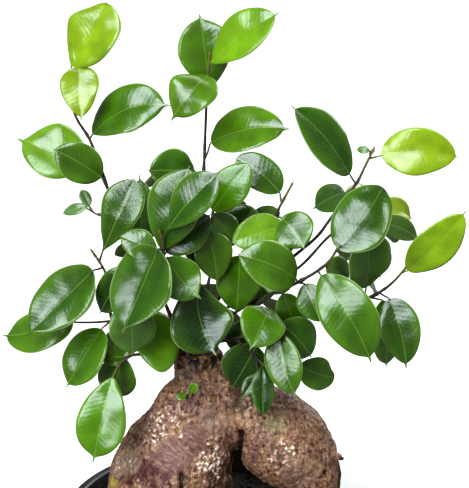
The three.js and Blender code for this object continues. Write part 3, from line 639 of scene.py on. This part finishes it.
shoots["shoot_back_right"] = {
    "ring": outerRing, "angle": 42, "behind": True,
    "twig": [(-6, -46, -16), (14, -32, -30), (41, -12, -40), (55, 3, -46), (66, 12, -52), (76, 18, -56)],
    "leaves": [
        leaf((66, 14, -54), (87, 33, -85), 27, "mid"),
        leaf((60, 6, -50), (88, -20, -71), 30, "dark"),
        leaf((76, 18, -58), (95, 1, -98), 26, "fresh"),
        leaf((66, 10, -56), (64, -9, -98), 27, "dark"),
        leaf((18, -32, -34), (39, -51, -65), 30, "dark"),
        leaf((28, -20, -36), (7, -6, -67), 28, "mid"),
        leaf((8, -38, -28), (27, -10, -52), 28, "dark"),
    ],
}


for number, (name, shoot) in enumerate(shoots.items()):
    draw = random.Random(40 + number)
    angle = radians(shoot["angle"])
    away = Vector((cos(angle), sin(angle), 0))
    top = Vector((neck["x"], 0, neck["top"]))
    start = [top + sky * up + away * (shoot["ring"] + out) for out, up in socket["stand"]]
    main = smoothLine(start + [place(*p) for p in shoot["twig"]], 5)
    branches = [smoothLine([place(*p) for p in points], 5) for points in shoot.get("branches", [])]
    bm, layers = newShoot()
    growTwig(bm, layers, main, shoot.get("stem", twigLook["start"]), twigLook["end"],
             [form["base"] for form in shoot["leaves"]], draw)
    for line in branches:
        growTwig(bm, layers, line, twigLook["branch"], twigLook["branchEnd"], [], draw)
    for form in shoot["leaves"]:
        growLeaf(bm, layers, form, leafOrigin(form["base"], [main, *branches]),
                 form.get("behind", shoot.get("behind", False)), draw)
    finishPiece(bm, name + "_leaves", [leafAbove, leafBelow, twigBark], "leaf", name)
print("shoots grown")


# smooth fig bark, grown over swollen roots: thin brown to mauve skin, stretched into fine wrinkles, with
# pale raised lenticels in drifts;
# painted shade darkens the seams and creases, painted highlights brighten lenticels on the front; it looks
# damp, with glints on the high spots
trunk = {
    "steps": 9, "sides": 80,  # rings to a section, sides of a ring
    "cell": 0.85, "softening": 4,  # mm of the fused skin's cells, passes
    "cleft": {"angle": 80, "wide": 0.16, "deep": 0.22, "top": 124},
    # x, z, half across, half deep in mm
    "leftLeg": [(-5, 203, 14.5, 14.5), (-5, 192, 15, 14.5), (-4, 180, 18.5, 18), (-7, 166, 24.5, 22),
                (-10, 150, 29.5, 28), (-15, 134, 35, 34), (-21, 118, 39, 37), (-25, 106, 40.5, 36),
                (-29, 95, 37, 31)],
    "rightLeg": [(-3, 197, 11, 11), (6, 184, 13, 14), (16, 172, 17, 19), (28, 160, 23, 24),
                 (40, 149, 28, 28), (51, 139, 28.5, 29), (61, 127, 24, 25), (67, 113, 18.5, 19),
                 (64, 97, 15, 15)],
    "leftFoot": (-30, 33, 26), "rightFoot": (61, 14, 13),  # x, half across, half deep
    "footLevel": 83, "footBottom": 68,
    "knob": [(74, -8, 137), (81, -9.5, 135.5), (86.5, -10, 133.5)],
    "knobRadius": 4.6, "knobEnd": 1.2,
    "lumps": 1.1, "fibres": 0.7, "pitting": 0.45, "knobs": 1.9,  # mm, heights
    "lumpSize": 12, "fibreWidth": 2.6, "fibreLength": 7, "pitSize": 2.4, "knobSize": 3.4,  # mm
    "knobbly": (188, 200), "stubEnd": (80, 85),  # mm up the neck, and to the right, where they set in
    "lenticels": 4600, "lenticelSize": (0.55, 1.5), "lenticelHeight": 0.45,
    "offGlintBrightness": 0.65,  # brightness of the lenticels away from the places of painted glints
    # places on the front where lenticels crowd and carry painted glints: right, up, radius in mm
    "paintedGlintPlaces": [(-42, -112, 18), (-70, -129, 11), (-17, -130, 19), (31, -127, 13)],
    # (right, up) on the front view from end to end, half width, depth in mm; each crease is cut in and
    # darkened with painted shade
    "creases": [((3, -114), (0, -138), 2.2, 3.8), ((-32, -139), (-32, -152), 2, 3.5),
                ((54, -137), (55, -138), 1.3, 1.6)],
    # smooth patches, stretched into slanting wrinkles; as the places of painted glints: right, up, radius
    # in mm
    "wrinkled": {"patches": [(-38, -128, 15), (-23, -116, 10)], "spacing": 2.6, "slant": 38, "height": 0.4},
    # stains, painted shadows and painted highlights, by the front view: right, up, radius in mm, colour,
    # share
    "stainsShadowsAndHighlights": [(-55, -138, 15, "#480f0f", 0.95), (-43, -148, 12, "#4c1614", 0.85),
               # the second: painted shade under the crown at the neck's top
               (-75, -143, 5, "#aea53a", 0.85), (-30, -76, 13, "#2e2018", 0.5),
               (24, -109, 9, "#a5a66c", 0.4), (34, -114, 4, "#a05c48", 0.5),
               # the first: partly the leg's browner tone, partly painted shade on its side away from the
               # light
               (58, -100, 24, "#6b4d30", 0.5), (-10, -134, 12, "#452a22", 0.65),
               # the second: a painted shadow of the leaves above
               (-12, -106, 13, "#b39a84", 0.4), (5, -93, 11, "#3d2f1a", 0.7),
               # the first: a pale patch standing in for glints, a painted highlight
               (-66, -129, 12, "#c4ac90", 0.5), (38, -134, 15, "#a68c78", 0.35)],
}


def legRings(sections, foot, lumps):
    line = smoothLine([Vector((x, 0, z)) for x, z, _, _ in sections], trunk["steps"])
    sizes = smoothLine([Vector((across, deep, z)) for _, z, across, deep in sections], trunk["steps"])
    rings = []
    for i, (centre, size) in enumerate(zip(line, sizes)):
        across = Vector((0, -1, 0)).cross(headingAt(line, i))
        fade = smoothStep(centre.z, trunk["footLevel"], trunk["footLevel"] + 12)
        ring = []
        for a in turns(trunk["sides"]):
            swell = 1 + fade * lumps(a, centre.z)
            deep = Vector((0, size.y * swell * sin(a), 0))
            ring.append(centre + across * size.x * swell * cos(a) - deep)
        rings.append(ring)
    x, across, deep = foot
    for z in (trunk["footLevel"], trunk["footBottom"]):
        rings.append([Vector((x + across * cos(a), -deep * sin(a), z)) for a in turns(trunk["sides"])])
    return rings


def leftLumps(a, z):
    cleft = trunk["cleft"]
    split = cleft["deep"] * exp(-(((a - radians(cleft["angle"])) / cleft["wide"]) ** 2))
    lumps = 0.03 * sin(3 * a + z / 13) + 0.015 * sin(7 * a - z / 9)
    return lumps - split * (1 - smoothStep(z, cleft["top"] - 14, cleft["top"]))


def rightLumps(a, z):
    return 0.03 * sin(4 * a + z / 12) + 0.015 * sin(9 * a)


def offLine(point, start, end):  # how far a point lies from a stretch of line
    run = end - start
    share = min(1, max(0, (point - start).dot(run) / run.length_squared))
    return (point - start - run * share).length


def facesFront(normal):
    return smoothStep(-normal.y, 0.1, 0.5)


def paintedGlintPlaces(vert):  # how far a point lies in the places of painted glints, on the front
    seen = onPicture(vert.co)
    gap = min((seen - Vector((x, y))).length / radius for x, y, radius in trunk["paintedGlintPlaces"])
    return facesFront(vert.normal) * (1 - smoothStep(gap + 0.3 * noise(vert.co / 6), 0.4, 1))


bm = bmesh.new()
sweep(bm, legRings(trunk["leftLeg"], trunk["leftFoot"], leftLumps))
sweep(bm, legRings(trunk["rightLeg"], trunk["rightFoot"], rightLumps))
knob = smoothLine([Vector(p) for p in trunk["knob"]], 4)
taper = (trunk["knobRadius"] - trunk["knobEnd"]) / (len(knob) - 1)
sweep(bm, tubeRings(knob, [trunk["knobRadius"] - taper * i for i in range(len(knob))], 16))
bmesh.ops.recalc_face_normals(bm, faces=bm.faces)
rough = meshObject(bm, "trunkRough")
fuse = rough.modifiers.new("fuse", "REMESH")  # one skin over both legs and the stub
fuse.mode = "VOXEL"
fuse.voxel_size = trunk["cell"] * mm
soften = rough.modifiers.new("soften", "SMOOTH")
soften.factor, soften.iterations = 0.5, trunk["softening"]
bm = workedMesh(rough)
bpy.data.objects.remove(rough)

bm.verts.ensure_lookup_table()
draw = random.Random(7)
spots = kdtree.KDTree(trunk["lenticels"])
spotForms = []
for number in range(trunk["lenticels"]):  # more of them on the swollen parts, in drifts and in the places of painted glints
    while True:
        vert = bm.verts[draw.randrange(len(bm.verts))]
        at = vert.co
        crowd = smoothStep(noise(at / 13 + Vector((3, 1, 7))), 0, 0.35) + paintedGlintPlaces(vert)
        if at.z > trunk["footLevel"] + 1 and draw.random() < 0.1 + 0.9 * crowd:
            break
    spots.insert(at, number)
    size, strength = draw.uniform(*trunk["lenticelSize"]), draw.uniform(0.4, 1)
    way = Vector((draw.uniform(-1, 1), draw.uniform(-1, 1), draw.uniform(-0.5, 1.5))).normalized()
    spotForms.append((size, strength, way))
spots.balance()
wrinkled, fibreWidth, fibreLength = trunk["wrinkled"], trunk["fibreWidth"], trunk["fibreLength"]
slant = Matrix.Rotation(radians(wrinkled["slant"]), 2)
layers = {name: bm.verts.layers.float.new(name) for name in ("lenticel", "seamShadeAndStubEnd", "wrinkled", "crest")}
stainShadowHighlightLayer = bm.verts.layers.float_color.new("stainShadowHighlight")
stainsShadowsAndHighlights = [(Vector((right, up)), radius, Vector(hexColour(code)), share)
          for right, up, radius, code, share in trunk["stainsShadowsAndHighlights"]]
for vert in bm.verts:
    co, normal, inGlintPlace = vert.co.copy(), vert.normal.copy(), paintedGlintPlaces(vert)
    seen = onPicture(co)
    front, ragged = facesFront(normal), noise(co / 5)
    inPatch = front * max(1 - smoothStep((seen - Vector((x, y))).length + 5 * ragged, 0.5 * radius, radius)
                          for x, y, radius in wrinkled["patches"])
    stainShadowHighlight = Vector((0, 0, 0, 0))
    for middle, radius, tone, share in stainsShadowsAndHighlights:
        gap = (seen - middle).length + 0.6 * radius * ragged
        stainShadowHighlight = stainShadowHighlight.lerp(tone, share * front * (1 - smoothStep(gap, 0.4 * radius, radius)))
    fibre = noise(Vector((co.x / fibreWidth, co.y / fibreWidth, co.z / fibreLength)))
    pit = abs(noise(co / trunk["pitSize"] + Vector((9, 0, 0))))
    knobbly, knob = smoothStep(co.z, *trunk["knobbly"]), noise(co / trunk["knobSize"])
    lift = trunk["lumps"] * noise(co / trunk["lumpSize"]) + trunk["knobs"] * knob * knobbly
    lift += (trunk["fibres"] * fibre - trunk["pitting"] * 2 * pit) * (1 - inPatch)
    ripple = (slant @ seen).y / wrinkled["spacing"] + 1.2 * noise(co / 8)
    crest = cos(2 * pi * ripple) * smoothStep(noise(co / 3 + Vector((0, 5, 0))), -0.5, 0.2)
    lift += wrinkled["height"] * crest * inPatch
    # painted shade: darker in the hollows between the neck's knobs and along the creases below; also darker
    # towards the stub's end
    seamShadeAndStubEnd = max(knobbly * (1 - smoothStep(knob, -0.25, 0.1)), 0.75 * smoothStep(co.x, *trunk["stubEnd"]))
    for start, end, wide, deep in trunk["creases"]:
        gap = offLine(seen, Vector(start), Vector(end)) + 0.8 * noise(co / 2.5)
        cut = exp(-((gap / wide) ** 2)) * smoothStep(-normal.y, -0.3, 0.1)
        lift -= deep * cut
        seamShadeAndStubEnd = max(seamShadeAndStubEnd, cut * min(1, deep))
    height = 0
    for at, number, _ in spots.find_n(co, 3):
        radius, strength, way = spotForms[number]
        gap = (co - at - way * (co - at).dot(way) * 0.5).length
        height = max(height, strength * (1 - smoothStep(gap, radius * 0.3, radius)))
    height *= 1 - 0.85 * inPatch
    # painted highlight: lenticels are bright enough for the painted glints only in the glint places
    vert[layers["lenticel"]] = height * (trunk["offGlintBrightness"] + (1 - trunk["offGlintBrightness"]) * inGlintPlace)
    vert[layers["seamShadeAndStubEnd"]] = seamShadeAndStubEnd
    vert[layers["wrinkled"]], vert[layers["crest"]] = inPatch, inPatch * smoothStep(crest, 0.2, 1)
    vert[stainShadowHighlightLayer] = (*(stainShadowHighlight.xyz / max(stainShadowHighlight.w, 0.001)), stainShadowHighlight.w)
    vert.co = co + normal * (lift + trunk["lenticelHeight"] * height)

rootBark, tree, shader = newMaterial("smoothFigBark")
barkLook = {
    "region": 26, "broad": 9, "mottle": 3, "fibre": 1.6, "grit": 0.6,  # mm, cells of the patterns
    "brown": "#966f50", "mauve": "#8d6758", "ruddy": "#703a2d", "beige": "#b99870", "dark": "#37241a",
    "lenticel": "#cbad91", "glint": "#fbf0e2", "seamShadeAndStubEnd": "#1a120d", "stretched": "#7a564c",
    "crest": "#bf9a8d",
    "damp": 0.28, "dry": 0.6, "ior": 1.42, "relief": 0.5,
}
coords = addNode(tree, "TexCoord", out="Object")
drawn = addNode(tree, "Mapping", {"Vector": coords, "Scale": (1, 1, 0.35)})  # drawn out along the root
region, broad, mottle, fibre, grit = [
    addNode(tree, "TexNoise", {"Vector": drawn if cell == "fibre" else coords,
                               "Scale": perMetre(barkLook[cell]), "Detail": 4, "Roughness": 0.6})
    for cell in ("region", "broad", "mottle", "fibre", "grit")]
lenticel, seamShadeAndStubEnd, stretched, crest = [addNode(tree, "Attribute", out="Fac", attribute_name=name)
                                    for name in ("lenticel", "seamShadeAndStubEnd", "wrinkled", "crest")]
skin = tinted(tree, hexColour(barkLook["brown"]), [
    (region, 0.4, 0.6, 0, 1, barkLook["mauve"]),
    (region, 0.3, 0.42, 0.5, 0, barkLook["ruddy"]),
    (broad, 0.55, 0.7, 0, 0.6, barkLook["beige"]),
    (mottle, 0.52, 0.66, 0, 0.75, barkLook["beige"]),
    (mottle, 0.36, 0.48, 0.9, 0, barkLook["dark"]),
    (fibre, 0.38, 0.5, 0.65, 0, barkLook["dark"]),
    (stretched, 0.1, 0.7, 0, 0.8, barkLook["stretched"]),
    # pale crests: partly the stretched skin's own paler ridges, partly a painted highlight on the ridges
    (crest, 0, 1, 0, 0.5, barkLook["crest"]),
])
stainShadowHighlightTone, stainShadowHighlightShare = addNode(tree, "Attribute", out=None, attribute_name="stainShadowHighlight")[0::3]
skinWithStainsShadowsHighlights = addNode(tree, "Mix", {0: stainShadowHighlightShare, 6: skin, 7: stainShadowHighlightTone}, out=2, data_type="RGBA")
colour = tinted(tree, skinWithStainsShadowsHighlights, [
    (mottle, 0.3, 0.42, 0.5, 0, barkLook["dark"]),
    (lenticel, 0.25, 0.7, 0, 0.8, barkLook["lenticel"]),
    # painted highlight: white glints on the strongest lenticels
    (lenticel, 0.55, 0.85, 0, 0.8, barkLook["glint"]),
    (grit, 0.36, 0.5, 0.5, 0, barkLook["dark"]),
    # painted shade in the hollows and creases, and the darker stub end
    (seamShadeAndStubEnd, 0.2, 0.8, 0, 0.95, barkLook["seamShadeAndStubEnd"]),
])
damp = addNode(tree, "MapRange", {0: mottle, 1: 0.4, 2: 0.6, 3: barkLook["dry"], 4: barkLook["damp"]})
height = addNode(tree, "Math", {0: mottle, 1: 1.5, 2: fibre}, operation="MULTIPLY_ADD")
height = addNode(tree, "Math", {0: grit, 1: 0.5, 2: height}, operation="MULTIPLY_ADD")
bump = addNode(tree, "Bump", {"Height": height, "Strength": 0.8, "Distance": barkLook["relief"] * mm})
setInputs(shader, {"Base Color": colour, "Roughness": damp, "Normal": bump, "IOR": barkLook["ior"]})
finishPiece(bm, "root_trunk_bark", [rootBark], "bark", "root_trunk")

# the small sprout on the neck: two young leaves on a thread of a stem
sprout = {
    "stem": [(-11, -14, 177), (-11.3, -19, 179), (-12, -23.5, 181.5)], "radii": (0.8, 0.6),  # mm
    "leaves": [leaf((-27, -89, 24.5), (-22, -84, 27), 5.6, "fresh", drip=0.3, roll=0),
               leaf((-29, -90, 24.5), (-35, -93, 28), 4.6, "fresh", drip=0.3, roll=0)],
}
bm, layers = newShoot()
line = smoothLine([Vector(p) for p in sprout["stem"]], 4)
growTwig(bm, layers, line, *sprout["radii"], [], random.Random(5))
for form in sprout["leaves"]:
    growLeaf(bm, layers, form, leafOrigin(form["base"], [line]), False, random.Random(6))
finishPiece(bm, "trunk_sprout_leaves", [leafAbove, leafBelow, twigBark], "leaf", "trunk_sprout")

# damp dark peat with bits of bark: crumbly and matte; its colour is taken darker still as painted shade of
# the pot, so it is all but black
soil = {
    "radius": 84, "top": 80, "bottom": 8.4, "bottomRadius": 61, "edgeDrop": 3, "edgeWidth": 5,  # mm
    "swells": [(1.4, 22), (0.9, 5), (0.7, 1.9)],  # mm, heights and cells
    "cells": 150, "crumbs": 900, "size": (0.8, 2.4), "strewn": 81.48,  # mm, the last two
    "peatDarkenedAsShade": "#0e0a08", "bark": "#211710", "fibre": "#4a392a", "roughness": 0.92,
    "bit": 3.5, "dust": 0.7, "relief": 0.6,  # mm
}
bm = bmesh.new()
grid = bmesh.ops.create_grid(bm, x_segments=soil["cells"], y_segments=soil["cells"], size=1)
for vert in grid["verts"]:
    x, y = vert.co.x, vert.co.y  # the square is drawn in to a disc
    flat = Vector((x * sqrt(1 - y * y / 2), y * sqrt(1 - x * x / 2), 0)) * soil["radius"]
    level = sum((height * noise(flat / cell) for height, cell in soil["swells"]), soil["top"])
    drop = soil["edgeDrop"] * smoothStep(flat.length, soil["radius"] - soil["edgeWidth"], soil["radius"])
    vert.co = flat + sky * (level - drop)
rim = [e for e in bm.edges if e.is_boundary]
for vert in bmesh.ops.extrude_edge_only(bm, edges=rim)["geom"]:
    if isinstance(vert, bmesh.types.BMVert):
        flat = Vector((vert.co.x, vert.co.y, 0)) * (soil["bottomRadius"] / soil["radius"])
        vert.co = flat + sky * soil["bottom"]
bmesh.ops.holes_fill(bm, edges=[e for e in bm.edges if e.is_boundary], sides=0)
draw = random.Random(11)
for _ in range(soil["crumbs"]):
    reach, turn = soil["strewn"] * sqrt(draw.random()), draw.uniform(0, 2 * pi)
    crumb = bmesh.ops.create_icosphere(bm, subdivisions=1, radius=draw.uniform(*soil["size"]))["verts"]
    turned = Euler([draw.uniform(0, 3) for _ in range(3)])
    at = Vector((reach * cos(turn), reach * sin(turn), soil["top"] + draw.uniform(-0.2, 0.6)))
    for vert in crumb:
        vert.co *= draw.uniform(0.75, 1.2)
        vert.co.z *= 0.6
        vert.co.rotate(turned)
        vert.co += at

pottingSoil, tree, shader = newMaterial("dampPottingSoil")
coords = addNode(tree, "TexCoord", out="Object")
bits, dust = [addNode(tree, "TexNoise", {"Vector": coords, "Scale": perMetre(soil[cell]), "Detail": 3})
              for cell in ("bit", "dust")]
# the peat's near-black is partly painted shade
colour = tinted(tree, hexColour(soil["peatDarkenedAsShade"]), [(bits, 0.35, 0.7, 0, 1, soil["bark"]),
                                                (dust, 0.62, 0.72, 0, 0.4, soil["fibre"])])
bump = addNode(tree, "Bump", {"Height": dust, "Strength": 0.8, "Distance": soil["relief"] * mm})
setInputs(shader, {"Base Color": colour, "Roughness": soil["roughness"], "Normal": bump})
finishPiece(bm, "potting_soil", [pottingSoil], "soil", "soil")

# black satin-glazed stoneware, thrown: the glaze pools a little, so its sheen wavers
pot = {
    "height": 93, "rimRadius": 91.5, "rimHeight": 9, "rimStep": 2.5, "rimWall": 5.8,  # mm
    "footRadius": 66, "floorRadius": 62, "floor": 8, "rounding": 1.1, "turns": 144,  # mm, steps round
    "drainCount": 4, "drainRadius": 5, "drainRing": 36, "channelWidth": 6, "channelDepth": 2.5,
    "glaze": "#0c0c11", "pooled": "#181921", "satin": (0.24, 0.36), "pool": 18, "pit": 1.4, "relief": 0.3,
    "dust": "#8d877a", "dusty": 0.1, "speck": 3,
}
top, shoulder = pot["height"], pot["height"] - pot["rimHeight"]
profile = [(0, 0), (pot["footRadius"], 0), (pot["rimRadius"] - pot["rimStep"], shoulder),
           (pot["rimRadius"], shoulder + 1), (pot["rimRadius"], top),
           (pot["rimRadius"] - pot["rimWall"], top), (pot["floorRadius"], pot["floor"]), (0, pot["floor"])]
bm = bmesh.new()
outline = [bm.verts.new((radius, 0, z)) for radius, z in profile]
chain = [bm.edges.new(pair) for pair in zip(outline, outline[1:])]
bmesh.ops.spin(bm, geom=outline + chain, cent=(0, 0, 0), axis=(0, 0, 1), angle=2 * pi,
               steps=pot["turns"], use_merge=True)
bmesh.ops.remove_doubles(bm, verts=bm.verts, dist=0.001)
bmesh.ops.recalc_face_normals(bm, faces=bm.faces)
bm.normal_update()
corners = [e for e in bm.edges if len(e.link_faces) == 2 and e.calc_face_angle() > 0.35]
bmesh.ops.bevel(bm, geom=corners, offset=pot["rounding"], segments=4, profile=0.5, affect="EDGES",
                material=-1, clamp_overlap=True)
rough = meshObject(bm, "potRough")

bm = bmesh.new()  # what the drain holes and the foot's channels cut away
for a in turns(pot["drainCount"]):
    a += pi / pot["drainCount"]
    hole = bmesh.ops.create_cone(bm, cap_ends=True, segments=32, radius1=pot["drainRadius"],
                                 radius2=pot["drainRadius"], depth=pot["floor"] + 4)["verts"]
    bmesh.ops.translate(bm, vec=(pot["drainRing"], 0, pot["floor"] / 2), verts=hole)
    channel = bmesh.ops.create_cube(bm, size=1)["verts"]
    bmesh.ops.scale(bm, vec=(pot["footRadius"], pot["channelWidth"], 2 * pot["channelDepth"]),
                    verts=channel)
    bmesh.ops.translate(bm, vec=(pot["drainRing"] + pot["footRadius"] / 2, 0, 0), verts=channel)
    bmesh.ops.rotate(bm, matrix=Matrix.Rotation(a, 3, "Z"), verts=hole + channel)
cuts = meshObject(bm, "potCuts")
drain = rough.modifiers.new("drain", "BOOLEAN")
drain.operation, drain.object, drain.solver, drain.use_self = "DIFFERENCE", cuts, "EXACT", True
bm = workedMesh(rough)
bpy.data.objects.remove(rough)
bpy.data.objects.remove(cuts)
for e in bm.edges:
    e.smooth = len(e.link_faces) != 2 or e.calc_face_angle() < 0.6

potGlaze, tree, shader = newMaterial("blackSatinGlaze")
coords = addNode(tree, "TexCoord", out="Object")
pool, pits, specks = [
    addNode(tree, "TexNoise", {"Vector": coords, "Scale": perMetre(pot[cell]), "Detail": 3})
    for cell in ("pool", "pit", "speck")]
colour = tinted(tree, hexColour(pot["glaze"]), [(pool, 0.3, 0.7, 0, 1, pot["pooled"]),
                                                (specks, 0.5, 0.75, 0, pot["dusty"], pot["dust"])])
sheen = addNode(tree, "MapRange", {0: pool, 1: 0.3, 2: 0.7, 3: pot["satin"][0], 4: pot["satin"][1]})
bump = addNode(tree, "Bump", {"Height": pits, "Strength": 0.25, "Distance": pot["relief"] * mm})
setInputs(shader, {"Base Color": colour, "Roughness": sheen, "Normal": bump})
finishPiece(bm, "pot_glazed", [potGlaze], "pot_black", "pot")

# a plain pale floor under soft light
studio = {
    "floorSize": 8000, "floorColour": "#f4f4f2", "fill": 0.27, "backdrop": 1.0,  # mm, strengths of the sky
    # from, W/m2, spread in degrees, colour
    "suns": {"skylight": ((-0.25, -0.6, 0.8), 3.2, 38, "#eef4ff"),
             "window": ((-0.5, -0.85, 0.3), 1.4, 26, "#f2f7ff"),
             "backlight": ((0.55, 0.7, 0.6), 2.3, 60, "#ffffff")},
}
floorPaint, tree, shader = newMaterial("paleFloorPaint")
setInputs(shader, {"Base Color": hexColour(studio["floorColour"]), "Roughness": 0.8})
bm = bmesh.new()
bmesh.ops.create_grid(bm, x_segments=1, y_segments=1, size=studio["floorSize"] / 2)
floor = meshObject(bm, "studioFloor")
floor.data.materials.append(floorPaint)
floor.visible_glossy = floor.visible_diffuse = False  # it takes the light and gives none back

world = bpy.context.scene.world or bpy.data.worlds.new("studioWorld")
bpy.context.scene.world = world
world.use_nodes = True
background = world.node_tree.nodes["Background"]
seen = addNode(world.node_tree, "LightPath", out="Is Camera Ray")
strength = addNode(world.node_tree, "MapRange", {0: seen, 3: studio["fill"], 4: studio["backdrop"]})
setInputs(background, {"Color": (1, 1, 1, 1), "Strength": strength})

for name, (position, power, spread, tone) in studio["suns"].items():
    light = bpy.data.lights.new(name, "SUN")
    light.energy, light.angle, light.color = power, radians(spread), hexColour(tone)[:3]
    lamp = newObject(name, light)
    lamp.rotation_euler = Vector(position).to_track_quat("Z", "Y").to_euler()
bpy.context.scene.view_settings.view_transform = "Standard"
bpy.context.scene.view_settings.look = "Medium High Contrast"
print("studio lit")
